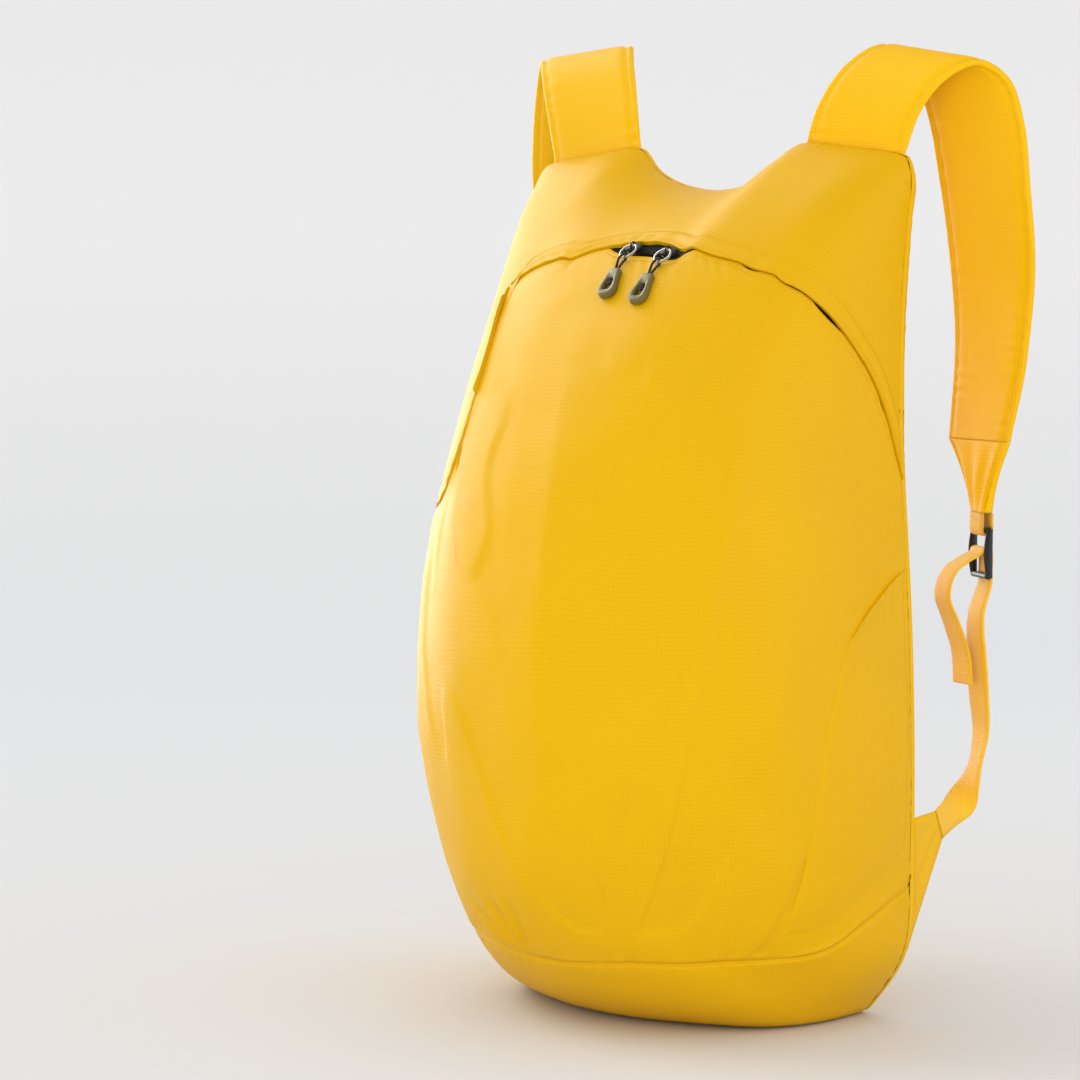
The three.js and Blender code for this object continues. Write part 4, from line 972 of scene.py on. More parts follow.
def pocket_relief(flat, grid, length, e):
    edge = np.minimum(np.minimum(e["foot"], e["left"]), e["right"])
    swell = 0.6 * np.clip(edge / 22, 0, 1) + LAY_GAP
    sewn = -0.9 * np.exp(-((edge / 2.2) ** 2))
    sunk = np.clip(1 - e["foot"] / FOOT_FADE, 0, 1)
    sewn = sewn - 1.3 * sunk * sunk * (3 - 2 * sunk)
    hemmed = 0.35 * np.exp(-((e["head"] / 3.2) ** 4))
    hemmed = hemmed - 0.3 * np.exp(-(((e["head"] - 8) / 0.7) ** 2))
    pucker = 0.2 * ripple(e["along"] + e["up"], 7.0) * np.exp(-edge / 7) * np.minimum(edge / 3, 1)
    top = 0.25 * ripple(e["along"], 6.0) * np.exp(-e["head"] / 8)
    return swell + sewn + hemmed + pucker + top + cloth(grid) + folds(flat, length)


def pocket(side, mirror):
    rim_share = 1 - POCKET_INSET / shell(place(0, 1))[1]

    def line(rows):
        return shell_line([(180 - d if mirror else d, min(r, rim_share)) for d, r in rows])

    top, front, foot = line(POCKET_TOP), line(POCKET_FRONT), line(POCKET_BOTTOM)
    low, high = (math.atan2(*x(1.0)[::-1]) for x in (foot, top))
    if mirror:
        low, high = low % TURN, high % TURN
    rim = rim_line(low, high)

    def rear(share):
        spot = rim(share)
        return spot / np.linalg.norm(spot, axis=-1, keepdims=True) * rim_share

    area = patch(foot, top, lambda v: front(1 - np.asarray(v)), rear)
    panel(
        f"pocket_cloth_{side}", area, even(70), even(140), pocket_relief,
        shell_cloth, "shell_fabric", [f"side_pocket_{side}"],
    )


pocket("right", False)
pocket("left", True)
print("pockets made")

# %% [markdown]
# ## The zipper
#
# The tape is dark and lies under the seam, with the two rows of a nylon coil along its middle.
# Where both sliders meet, the mouth shows it.

# %% Zipper tape and coil
TAPE_DEPTH = -FABRIC - TAPE_GAP


def tape():
    low, high = beside(zip_line, -TAPE_WIDTH / 2), beside(zip_line, TAPE_WIDTH / 2)
    us = 0.03 + 0.94 * seam_shares(260)
    v = even(13)[:, None, None]
    flat = low(us)[None] * (1 - v) + high(us)[None] * v
    grid = shell(flat)[0]
    normal = normals_of(grid, np.array([0.0, -1.0, 0.0]))
    grid = grid + normal * TAPE_DEPTH
    closed = hem(grid, normal, 1)
    across, up = run(closed, 1), run(closed, 0)
    faces = grid_faces(*closed.shape[:2])
    points = closed.reshape(-1, 3)
    inner = normal[6, 130]
    if normal_of_face(points, faces[len(faces) // 2]) @ inner < 0:
        faces = [f[::-1] for f in faces]
    uv = np.stack([across, up], -1).reshape(-1, 2)
    return add_piece(
        "zipper_tape_cloth", points, faces, tape_cloth, "zipper_tape", ["zipper_tape"], uv
    )


tape()


def tube(path, radius, sides=8, closed=False):
    """Points and faces of a tube along a path."""
    path = np.asarray(path, float)
    tangent = np.gradient(path, axis=0)
    if closed:
        tangent = np.roll(path, -1, 0) - np.roll(path, 1, 0)
    tangent /= np.maximum(np.linalg.norm(tangent, axis=1, keepdims=True), 1e-9)
    side = np.zeros_like(path)
    start = np.cross(tangent[0], [0.3, 0.5, 0.81])
    for k, t in enumerate(tangent):
        start = start - t * (start @ t)
        start = start / np.linalg.norm(start)
        side[k] = start
    other = np.cross(tangent, side)
    angle = TURN * np.arange(sides) / sides
    radius = np.broadcast_to(np.asarray(radius, float), (len(path),))
    across, rise = np.cos(angle)[None, :, None], np.sin(angle)[None, :, None]
    ring = side[:, None] * across + other[:, None] * rise
    points = path[:, None] + ring * radius[:, None, None]
    faces = grid_faces(len(path), sides, closed=True)
    if closed:
        last = (len(path) - 1) * sides
        faces += [[last + k, last + (k + 1) % sides, (k + 1) % sides, k] for k in range(sides)]
    else:
        faces += [list(range(sides))[::-1], [(len(path) - 1) * sides + k for k in range(sides)]]
    return points.reshape(-1, 3), faces


def joined(parts):
    points, faces, start = [], [], 0
    for more_points, more_faces in parts:
        points.append(more_points)
        faces += [[start + k for k in face] for face in more_faces]
        start += len(more_points)
    return np.vstack(points), faces


def coil():
    parts = []
    reach = 1.5 * mouth_half
    centre = beside(zip_line, lambda share: -mouth_drop(share) / 2)
    us = np.linspace(mouth_share - reach, mouth_share + reach, 900)
    flat = centre(us)
    middle = shell(flat)[0]
    grid = shell(np.stack([beside(zip_line, -3.0)(us), beside(zip_line, 3.0)(us)]))[0]
    up = grid[1] - grid[0]
    up /= np.linalg.norm(up, axis=1, keepdims=True)
    along = np.gradient(middle, axis=0)
    along /= np.linalg.norm(along, axis=1, keepdims=True)
    out = np.cross(up, along)
    out *= np.sign(-out[:, 1:2])
    length = run(middle[None], 1)[0]
    for side in (-1, 1):
        angle = TURN * length / 1.25 + (0 if side < 0 else math.pi)
        width = 1.1 * np.cos(angle) + side * 0.9
        lift = TAPE_DEPTH + 0.75 + 0.55 * np.sin(angle)
        path = middle + up * width[:, None] + out * lift[:, None]
        parts.append(tube(path, 0.26, 5))
    points, faces = joined(parts)
    return add_piece("zipper_coil", points, faces, tooth_nylon, "zipper_tape")


coil()
print("zipper made")

# %% [markdown]
# ## Sliders, rings and pulls
#
# Each slider sits in the mouth. A bright ring hangs from it, a doubled cord is looped through the
# ring, and both its strands go into a flat moulded end with a window, where the knot sits.

# %% Where a slider and what hangs from it lie
SLIDER_LENGTH, SLIDER_WIDTH, SLIDER_HEIGHT = 9, 5, 3.8
RING_RADIUS, RING_WIRE = 4.4, 1.2
PULL_CORD, PULL_DROP = 1.3, 17
PULL_LENGTH, PULL_WIDTH, PULL_THICKNESS = 15.5, 9.6, 3.6
WINDOW_WIDTH = 4.6
KNOT_PLACE = 0.42
SLIDER_FOOT = TAPE_DEPTH + TOUCH_GAP
SLIDER_TOP = SLIDER_FOOT + SLIDER_HEIGHT
RING_HEIGHT = SLIDER_TOP + TOUCH_GAP + RING_WIRE / 2
PULL_HEIGHT = TOUCH_GAP + PULL_THICKNESS / 2


def one(flat):
    points, length = shell(np.asarray(flat)[None])
    return points[0], length[0]


def hanging_frame(direction, down):
    """Origin, along, up and out of the shell at a place below the zipper's mouth."""
    share = share_at(zip_line, direction)
    start = beside(zip_line, lambda s: -mouth_drop(s) / 2)(np.array([share]))[0]
    reach = np.linalg.norm(start)
    spot = start * (reach - down / one(start)[1]) / reach
    middle, length = one(spot)
    step = 0.004
    ahead = [one(spot + d)[0] for d in ([step, 0], [-step, 0], [0, step], [0, -step])]
    out = np.cross(ahead[0] - ahead[1], ahead[2] - ahead[3])
    out /= np.linalg.norm(out)
    lower = one(spot * (1 - 1 / length / np.linalg.norm(spot)))[0]
    up = middle - lower
    up -= out * (up @ out)
    up /= np.linalg.norm(up)
    along = np.cross(up, out)
    return middle, np.stack([along, up, out])


def placed(points, framed):
    middle, axes = framed
    return middle + np.asarray(points, float) @ axes


def plate(rows, width, length, low, high, bevel, window=None):
    """A flat plate with rounded edges from half an outline, as rings of points."""
    def ring_of(table, wide, shrink):
        half = smooth_line([(w * wide / 2, -d * length) for d, w in table], 5)
        ring = np.vstack([half, half[::-1] * [-1, 1]])
        middle = ring.mean(0)
        away = ring - middle
        size = np.linalg.norm(away, axis=1, keepdims=True)
        return middle + away * (1 - shrink / np.maximum(size, 1e-6))

    layers = [(0.0, low + bevel), (0.0, high - bevel), (0.3, high - 0.3 * bevel), (1.0, high)]
    layers = [(1.0, low), (0.3, low + 0.3 * bevel)] + layers
    def stacked(table, wide, share):
        rings = [(ring_of(table, wide, share * s * bevel), z) for s, z in layers]
        return [np.c_[ring, np.full(len(ring), z)] for ring, z in rings]

    outer = stacked(rows, width, 1)
    count = len(outer[0])
    points = np.vstack(outer)
    faces = grid_faces(len(outer), count, closed=True)
    if window is None:
        faces += [list(range(count))[::-1], list(range(5 * count, 6 * count))]
        return points, faces
    inner = stacked(window, WINDOW_WIDTH, -0.5)
    start, more = len(points), len(inner[0])
    points = np.vstack([points, *inner])
    faces += [[start + k for k in face[::-1]] for face in grid_faces(len(inner), more, closed=True)]
    for layer, flip in ((0, True), (5, False)):
        for k in range(count):
            a, b = layer * count + k, layer * count + (k + 1) % count
            c, d = start + layer * more + (k + 1) % more, start + layer * more + k
            faces.append([a, d, c, b] if flip else [a, b, c, d])
    return points, faces


SLIDER_OUTLINE = [(0, 0.6), (0.05, 0.74), (0.24, 1), (0.5, 0.9), (0.76, 1), (0.95, 0.74), (1, 0.6)]
PULL_OUTLINE = [
    (0, 0.5), (0.03, 0.58), (0.35, 0.76), (0.66, 0.99), (0.78, 0.99), (0.9, 0.84), (1, 0.46),
]
WINDOW_OUTLINE = [
    (0.36, 0.5), (0.4, 0.74), (0.48, 1), (0.6, 1.0), (0.72, 1), (0.78, 0.8), (0.8, 0.5),
]


def slider(side, direction):
    framed = hanging_frame(direction, 0)
    body, faces = plate(SLIDER_OUTLINE, SLIDER_WIDTH, SLIDER_LENGTH, 0, 1.5, 0.35)
    body = np.c_[body[:, 1] + SLIDER_LENGTH / 2, -body[:, 0], body[:, 2] + SLIDER_FOOT]
    top = body + [0, 0, SLIDER_HEIGHT - 1.5]
    neck, neck_faces = plate([(0, 0.5), (0.5, 1), (1, 0.5)], 2.2, 3, 0, 1.4, 0.2)
    neck = np.c_[neck[:, 1] + 3.6, neck[:, 0], neck[:, 2] + SLIDER_FOOT + 1.2]
    angle = np.radians(np.linspace(0, 180, 17))
    hole = RING_WIRE + 2 * TOUCH_GAP
    arch_rise = SLIDER_TOP - 0.3 + (hole + 0.6) * np.sin(angle) ** 0.55
    arch = np.c_[0 * angle, 1.9 * np.cos(angle), arch_rise]
    parts = [(body, faces), (top, faces), (neck, neck_faces), tube(arch, 0.46, 8)]
    points, faces = joined([(placed(p, framed), f) for p, f in parts])
    add_piece(
        f"slider_{side}", points, faces, slider_paint, "slider_metal", [f"zipper_slider_{side}"]
    )
    around = TURN * np.arange(40) / 40
    swell = 1 + 0.07 * np.cos(2 * around)
    ring_up = -RING_RADIUS + RING_RADIUS * np.cos(around) * swell
    loop = np.c_[RING_RADIUS * np.sin(around) * 0.96, ring_up, 0 * around + RING_HEIGHT]
    points, faces = tube(loop, RING_WIRE / 2, 12, closed=True)
    add_piece(
        f"ring_{side}", placed(points, framed), faces, ring_steel, "ring_metal",
        [f"pull_ring_{side}"],
    )
    return framed


PULL_SWING = math.radians(8)  # towards +X, as the moulded ends hang in the photograph
PULL_LONGER = 2.5  # the moulded end's foot, longer than the frame's, mm


def pull(side, direction, framed):
    middle, (along, up, out) = hanging_frame(direction, PULL_DROP)
    c, s = math.cos(PULL_SWING), math.sin(PULL_SWING)
    lower = middle, np.stack([c * along + s * up, c * up - s * along, out])
    points, faces = plate(
        PULL_OUTLINE, PULL_WIDTH, PULL_LENGTH + PULL_LONGER, -PULL_THICKNESS / 2,
        PULL_THICKNESS / 2, 0.8, WINDOW_OUTLINE,
    )
    points[:, 2] += PULL_HEIGHT
    end = add_piece(
        f"moulded_end_{side}", placed(points, lower), faces, moulded, "pull_moulding",
        [f"pull_end_{side}"],
    )
    strand = (PULL_CORD + TOUCH_GAP) / 2
    bend = RING_WIRE / 2 + PULL_CORD / 2 + TOUCH_GAP
    knot = PULL_LENGTH * KNOT_PLACE

    def in_end(across, down):
        return placed([across * strand, -down, PULL_HEIGHT], lower)

    def by_ring(across, down, rise):
        return placed([across, -2 * RING_RADIUS - down * bend, RING_HEIGHT + rise * bend], framed)

    turns = [math.radians(a) for a in (90, 135, 180, 225, 270)]
    around = [by_ring(0, math.cos(a), math.sin(a)) for a in turns]
    route = [
        in_end(-1, knot), in_end(-1, knot / 2), in_end(-1, 0), in_end(-1, -PULL_CORD),
        by_ring(-strand / 2, 2, 1), *around, by_ring(strand / 2, 2, -0.6),
        in_end(1, -PULL_CORD), in_end(1, 0), in_end(1, knot / 2), in_end(1, knot),
    ]
    path = smooth_line(route, 6)
    curve = bpy.data.curves.new(f"pull_cord_{side}", "CURVE")
    curve.dimensions = "3D"
    curve.bevel_depth = PULL_CORD / 2000
    curve.bevel_resolution = 3
    curve.use_fill_caps = True
    spline = curve.splines.new("POLY")
    spline.points.add(len(path) - 1)
    for point, spot in zip(spline.points, (path + SHIFT) / 1000):
        point.co = (*spot, 1)
    curve.materials.append(pull_braid)
    cord = bpy.data.objects.new(f"cord_{side}", curve)
    bpy.context.scene.collection.objects.link(cord)
    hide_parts(f"pull_cord_{side}")
    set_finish(cord, "pull_cord")
    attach(cord, "root")
    turns = np.linspace(0, 1, 60)
    wrap = np.c_[
        1.15 * np.cos(TURN * 2.4 * turns),
        -knot - 1.6 - 1.5 * turns + 0.5 * np.sin(TURN * 3 * turns),
        PULL_HEIGHT + 0.85 * np.sin(TURN * 2.4 * turns),
    ]
    points, faces = tube(placed(wrap, lower), 0.55, 8)
    lump = add_piece(f"knot_{side}", points, faces, pull_braid, "pull_cord")
    return lump


for side, direction in SLIDERS:
    pull(side, direction, slider(side, direction))

# %% [markdown]
# ## Straps
#
# A strap is lofted through the rows of a table: where its middle is, how far it is turned and
# tilted, how wide and how thick. Across its width it is a thin pad, pinched at a row of stitches
# near each edge.

# %% Strap tables
STRAP_WIDTH, STRAP_PAD, STRAP_END_WIDTH = 58, 5, 50
STRAP_RISE, STRAP_DROP, STRAP_BACK, STRAP_LEAN = 40, 186, 70, 46
SEAM_ACROSS, SEAM_UP = 0.69, 0.996
WEBBING_WIDTH, WEBBING = 16, 1.3
TIP_LENGTH, TIP_DRIFT, TIP_SPREAD, TIP_TAPER, TIP_EDGE = 36, 0.05, 0.08, 0.55, 1
LOCK_HEIGHT, LOCK_DEPTH, LOCK_RAIL, LOCK_BAR = 26, 5, 2.4, 3
LOCK_TURN, LOCK_DROP, LOCK_STRAIGHT = -35, 20, 2
TAIL_LENGTH, TAIL_SWING = 66, 18
WING_HEIGHT, WING_TOP, WING_REACH, WING_SLANT = 66, 100, 27, 0.45
TAB_LENGTH, WEBBING_SWING, WING_FABRIC = 30, 7, 1.6

# lean, back, rise, drop, wide, pad, turn, tilt
STRAP_LINE = [
    (0.0, 0.01, 0.0, 0.0, 1.0, 0.6, 0, -7), (0.12, 0.05, 0.42, 0.0, 1.0, 0.9, 2, -6),
    (0.34, 0.17, 0.82, 0.0, 1.0, 1.0, 4, -8), (0.58, 0.35, 1.0, 0.0, 1.0, 1.0, 3, -10),
    (0.79, 0.49, 1.0, 0.045, 1.0, 1.0, 0, -8), (0.93, 0.57, 1.0, 0.16, 1.0, 1.0, -6, -4),
    (1.0, 0.63, 1.0, 0.33, 1.0, 1.0, -10, 0), (0.99, 0.76, 1.0, 0.57, 0.8, 1.0, -13, 0),
    (0.84, 0.89, 1.0, 0.79, 0.4, 1.0, -17, 0), (0.63, 0.98, 1.0, 1.0, 0.0, 0.9, -21, 0),
]
# along, turn, share of the tilt
TAB_LINE = [(0, 90, 1), (0.4, 70, 0.9), (0.75, 20, 0.6)]
TAB_END = (-20, 0.25)
# up, swing, turn
WEBBING_LINE = [
    (0.1, 0.6, -36), (0.26, 1.0, -30), (0.43, 0.4, -22), (0.62, -0.3, -22), (0.84, -0.9, -30),
]
# down, swing, turn
TAIL_LINE = [
    (0.05, 0.36, -35), (0.14, 0.8, -33), (0.32, 1.0, -30), (0.52, 0.74, -27), (0.76, 0.44, -24),
    (1.0, 0.36, -22),
]
CREST = SEAM_UP * PACK_HEIGHT + TOUCH_GAP + STRAP_RISE


def curve_through(values, count, uneven):
    """A smooth curve through rows of values, at even steps from row to row."""
    values = np.asarray(values, float)
    path = np.vstack([2 * values[0] - values[1], values, 2 * values[-1] - values[-2]])
    where = np.linspace(0, len(values) - 1, count + 1)
    span = np.minimum(where.astype(int), len(values) - 2)
    t = (where - span)[:, None]
    a, b, c, d = (path[span + k] for k in range(4))
    leave, arrive = (c - a) / 2, (d - b) / 2
    if uneven:
        pairs = ((a, b), (b, c), (c, d))
        gaps = [np.sqrt(np.linalg.norm(q - p, axis=1))[:, None] for p, q in pairs]
        one, two, three = (np.maximum(g, 1e-6) for g in gaps)
        leave = ((b - a) / one - (c - a) / (one + two) + (c - b) / two) * two
        arrive = ((c - b) / two - (d - b) / (two + three) + (d - c) / three) * two
    second, third = 3 * (c - b) - 2 * leave - arrive, 2 * (b - c) + leave + arrive
    return b + leave * t + second * t**2 + third * t**3


def stations(knots, count):
    """Middles, width directions, outward directions, widths and thicknesses along a band."""
    knots = np.asarray(knots, float)
    middle = curve_through(knots[:, :3], count, True)
    turn, tilt, width, thick = curve_through(knots[:, 3:], count, False).T
    turn, tilt = np.radians(turn), np.radians(tilt)
    across = np.stack([np.cos(turn) * np.cos(tilt), np.sin(turn) * np.cos(tilt), np.sin(tilt)], -1)
    out = np.cross(np.gradient(middle, axis=0), across)
    out /= np.linalg.norm(out, axis=1, keepdims=True)
    return middle, across, out, width, thick


def band(name, line, section, material, slot, nodes, relief=None, mirror=False):
    """A closed band. section is rows of side and rise, each from -1 to 1."""
    middle, across, out, width, thick = line
    side, rise = np.array(section, float).T
    grid = middle[:, None] + across[:, None] * (side[None, :, None] * width[:, None, None] / 2)
    lift = rise[None] * thick[:, None] / 2
    if relief is not None:
        length = run(middle[:, None], 0)[:, 0]
        lift = relief(lift, length[:, None], side[None], rise[None], width[:, None])
    grid = grid + out[:, None] * lift[..., None]
    if mirror:
        grid = grid * [-1, 1, 1]
    rows, columns = grid.shape[:2]
    around = run(np.concatenate([grid, grid[:, :1]], 1), 1)[:, :-1]
    uv = np.stack([around, run(grid, 0)], -1).reshape(-1, 2)
    faces = grid_faces(rows, columns, closed=True)
    faces += [list(range(columns))[::-1], [(rows - 1) * columns + k for k in range(columns)]]
    if mirror:
        faces = [face[::-1] for face in faces]
    return add_piece(name, grid.reshape(-1, 3), faces, material, slot, nodes, uv)


def strap_section(count=30):
    """Half round edges, a pinched row of stitches near each, and a flat pad between them."""
    top = []
    for side in np.cos(np.linspace(math.pi, 0, count)):
        edge = 1 - abs(side)
        pad = min(edge / 0.045, 1) ** 0.5
        pinch = 0.5 * math.exp(-(((edge - 0.13) / 0.035) ** 2))
        top.append((side, pad * (1 - pinch) * (0.62 + 0.38 * min(edge / 0.3, 1))))
    under = [(side, -rise) for side, rise in top[::-1]]
    return top + under[1:-1]


FLAT = [
    (-1, -0.4), (-0.96, -1), (-0.5, -1), (0, -1), (0.5, -1), (0.96, -1), (1, -0.4), (1, 0.4),
    (0.96, 1), (0.5, 1), (0, 1), (-0.5, 1), (-0.96, 1), (-1, 0.4),
]


def strap_relief(lift, length, side, rise, width):
    edge = (1 - np.abs(side)) * width / 2
    pucker = 0.35 * ripple(length + 11 * np.sign(side), 9.0) * np.exp(-np.abs(edge - 4) / 5)
    wander = 0.5 * np.sin(length / 17 + 2 * side) * np.sin(length / 29 + 1) * np.exp(-edge / 30)
    ends = np.minimum(length / 6, 1) * np.minimum((length[-1] - length) / 6, 1)
    return lift + (pucker * np.sign(rise) * np.minimum(edge / 2, 1) + wander) * ends


strap_knots = np.array([
    (
        SEAM_ACROSS * PACK_WIDTH / 2 + lean * STRAP_LEAN, back * STRAP_BACK,
        CREST - (1 - up) * STRAP_RISE - drop * STRAP_DROP, turned, tilted,
        STRAP_END_WIDTH + (STRAP_WIDTH - STRAP_END_WIDTH) * wide, pad * STRAP_PAD,
    )
    for lean, back, up, drop, wide, pad, turned, tilted in STRAP_LINE
])
strap_end = strap_knots[-1]
# The photograph shows both crests higher than the frame has them, and the left strap turned
# towards the camera. So these straps leave the frame's form on purpose: from the root down, by
# how large a share, and how many mm up and degrees round.
STRAP_SHARE = np.array([0, 0.42, 0.85, 1, 0.9, 0.6, 0.3, 0.1, 0, 0])
STRAP_LIFT = {"right": 3, "left": 11.5}
STRAP_TURN = {"right": 0, "left": -11}
STRAP_TILT = {"right": 0, "left": 4}


def strap_line(side):
    knots = strap_knots.copy()
    knots[:, 2] += STRAP_SHARE * STRAP_LIFT[side]
    knots[:, 3] += STRAP_SHARE * STRAP_TURN[side]
    knots[:, 4] += STRAP_SHARE * STRAP_TILT[side]
    return stations(knots, 300)


ROOT_DEPTH = 4  # how far a strap reaches down into the seam at the shoulder
strap_knots[0, :3] -= (strap_knots[1, :3] - strap_knots[0, :3]) * ROOT_DEPTH / 17
lock_middle = strap_end[:3] + [
    TIP_LENGTH * TIP_SPREAD, -TIP_LENGTH * TIP_DRIFT, -(TIP_LENGTH + LOCK_DROP + TOUCH_GAP)
]
lock_across = np.array([math.cos(math.radians(LOCK_TURN)), math.sin(math.radians(LOCK_TURN)), 0])
lock_up = np.array([0.0, 0.0, 1.0])
lock_out = -np.cross(lock_across, lock_up)
BAR_SPREAD = (LOCK_HEIGHT - LOCK_BAR) / 2
BAR_CLEAR = LOCK_BAR / 2 + TOUCH_GAP + WEBBING / 2


def in_lock(up, out):
    return lock_middle + lock_up * up + lock_out * out


def around_bar(height, degrees):
    angle = math.radians(degrees)
    return in_lock(height + BAR_CLEAR * math.sin(angle), BAR_CLEAR * math.cos(angle))


def webbing_knot(middle, turned, tilted=0.0):
    return (*middle, turned, tilted, WEBBING_WIDTH, WEBBING)


def strap_tip_line():
    start = strap_end[:3] - [0, 0, TOUCH_GAP]
    end = in_lock(LOCK_DROP + TOUCH_GAP, 0)
    thick = 2 * BAR_CLEAR + WEBBING
    end_width = WEBBING_WIDTH + 2 * TIP_EDGE
    half_width = strap_end[5] + (end_width - strap_end[5]) * TIP_TAPER
    knots = [
        (*start, strap_end[3], 0, strap_end[5], strap_end[6]),
        (*((start + end) / 2), (strap_end[3] + LOCK_TURN) / 2, 0, half_width, thick),
        (*end, LOCK_TURN, 0, end_width, thick),
    ]
    return stations(knots, 40)


def tip_relief(lift, length, side, rise, width):
    share = length / length[-1]
    pleat = 0.8 * np.sin(side * 9 + 1.3 * share) * np.sin(math.pi * share) ** 0.7
    edge = (1 - np.abs(side)) * width / 2
    pinched = lift * (1 - 0.3 * np.sin(math.pi * share) * np.abs(side))
    return pinched + pleat * np.minimum(edge / 4, 1) * np.sign(rise)


# %% The wing and the webbing's route
def seam_across(height):
    direction = np.radians(np.linspace(-89, 89, 2000))
    radius = rim_radius(direction)
    k = np.argmin(np.abs(BULGE_HEIGHT + radius * np.sin(direction) - height))
    return radius[k] * math.cos(direction[k])


def wing_root(height):
    across = seam_across(height) - WING_FABRIC
    reach = (across - WING_FABRIC) / seam_across(height)
    back = REAR_GAP / 2 + BACK_FABRIC + BACK_CROWN * (1 - reach**2) + TOUCH_GAP
    return np.array([across, back, height])


wing_upper, wing_lower = wing_root(WING_TOP), wing_root(WING_TOP - WING_HEIGHT)
wing_edge = np.array([0, WING_SLANT, -1]) / math.hypot(WING_SLANT, 1)
wing_back = np.array([0, 1, WING_SLANT]) / math.hypot(WING_SLANT, 1)
wing_tip = np.array([wing_upper[0] - WING_REACH / 8, WING_REACH, WING_TOP])


def webbing_line():
    foot = wing_tip + wing_edge * WEBBING_WIDTH / 2
    turning = foot + wing_back * (TOUCH_GAP + TAB_LENGTH) + [0, 0, WEBBING_WIDTH / 4]
    head = in_lock(-LOCK_HEIGHT / 2 - LOCK_STRAIGHT, BAR_CLEAR)
    tilt = math.degrees(math.atan(WING_SLANT)) - 90
    knots = [
        webbing_knot(foot + wing_back * (TOUCH_GAP + along * TAB_LENGTH), turned, tilt * part)
        for along, turned, part in TAB_LINE
    ]
    knots.append(webbing_knot(turning, TAB_END[0], tilt * TAB_END[1]))
    for up, swing, turned in WEBBING_LINE:
        middle = turning + (head - turning) * up + [0, swing * WEBBING_SWING, 0]
        knots.append(webbing_knot(middle, turned))
    knots.append(webbing_knot(head, LOCK_TURN))
    knots.append(webbing_knot(in_lock(-BAR_SPREAD, BAR_CLEAR), LOCK_TURN))
    knots += [webbing_knot(around_bar(0, a), LOCK_TURN) for a in (0, 45, 90, 135, 180)]
    for down, swing, turned in TAIL_LINE:
        middle = in_lock(-down * TAIL_LENGTH, -BAR_CLEAR - swing * TAIL_SWING)
        knots.append(webbing_knot(middle, turned))
    return stations(knots, 360)


def loop_line():
    straight = (BAR_SPREAD + LOCK_DROP) / 2
    middles = [in_lock(LOCK_DROP, BAR_CLEAR), in_lock(straight, BAR_CLEAR)]
    middles += [around_bar(BAR_SPREAD, a) for a in (0, -45, -90, -135, -180)]
    middles += [in_lock(straight, -BAR_CLEAR), in_lock(LOCK_DROP, -BAR_CLEAR)]
    return stations([webbing_knot(m, LOCK_TURN) for m in middles], 90)


# %% Ladder lock
def lock_parts():
    """The side rails bend back at their feet, and three bars join them."""
    inner = WEBBING_WIDTH + 4 * TOUCH_GAP
    parts = []
    for side in (-1, 1):
        ups = np.linspace(-LOCK_HEIGHT / 2 + 0.6, LOCK_HEIGHT / 2 - 0.6, 30)
        bow = 0.9 * np.cos(ups / LOCK_HEIGHT * math.pi) - 0.5
        path = np.c_[0 * ups + side * (inner + LOCK_RAIL) / 2, ups, bow]
        deep = 1.55 + 0.85 * np.cos(ups / LOCK_HEIGHT * math.pi)
        points, faces = tube(path, 1.0, 12)
        points = points.reshape(30, 12, 3) - path[:, None]
        points = points * np.stack([0 * deep + LOCK_RAIL / 2, 0 * deep + 1.0, deep], -1)[:, None]
        parts.append(((points + path[:, None]).reshape(-1, 3), faces))
    for height, out in ((-BAR_SPREAD, 0.0), (0, 0.0), (BAR_SPREAD, 0.0)):
        bar = np.linspace(-inner / 2 - 1, inner / 2 + 1, 12)
        path = np.c_[bar, np.full(12, height), np.full(12, out)]
        parts.append(tube(path, LOCK_BAR / 2, 16))
    return joined(parts)


def lock(side, mirror):
    points, faces = lock_parts()
    axes = np.stack([lock_across, lock_up, -lock_out])
    points = lock_middle + points @ axes
    if mirror:
        points, faces = points * [-1, 1, 1], [face[::-1] for face in faces]
    add_piece(
        f"lock_{side}", points, faces, buckle_plastic, "buckle_plastic", [f"ladder_lock_{side}"]
    )


# %% Both straps, with their fittings
def wing(side, mirror):
    tip_lower = wing_tip + wing_edge * WEBBING_WIDTH
    u, v = np.meshgrid(even(26), even(26))
    u, v = u[..., None], v[..., None]
    root = wing_upper + (wing_lower - wing_upper) * u
    tip = wing_tip + (tip_lower - wing_tip) * u
    middle = root + (tip - root) * v
    from_side, from_end = np.minimum(u, 1 - u), np.minimum(v, 1 - v)
    edge = np.minimum(from_side * WING_HEIGHT * 0.5, from_end * WING_REACH)[..., 0]
    wave = np.sin(u[..., 0] * 16 + 3 * v[..., 0]) * np.minimum(edge / 6, 1)
    swell = 0.35 + 0.45 * np.minimum(edge / 1.6, 1) + 0.2 * wave
    swell = np.minimum(swell, WING_FABRIC / 2 + 0.5)
    outer, inner = middle.copy(), middle.copy()
    outer[..., 0] += swell
    inner[..., 0] -= swell
    ring = np.concatenate([outer, inner[:, ::-1]], 1)
    rows, columns = ring.shape[:2]
    uv = np.stack([run(ring, 1), run(ring, 0)], -1).reshape(-1, 2)
    faces = grid_faces(rows, columns, closed=True)
    faces += [list(range(columns))[::-1], [(rows - 1) * columns + k for k in range(columns)]]
    points = ring.reshape(-1, 3)
    if mirror:
        points = points * [-1, 1, 1]
    piece = add_piece(
        f"wing_cloth_{side}", points, faces, shell_cloth, "shell_fabric", [f"lower_wing_{side}"], uv
    )
    made = bmesh.new()
    made.from_mesh(piece.data)
    bmesh.ops.recalc_face_normals(made, faces=made.faces)
    made.to_mesh(piece.data)
    made.free()


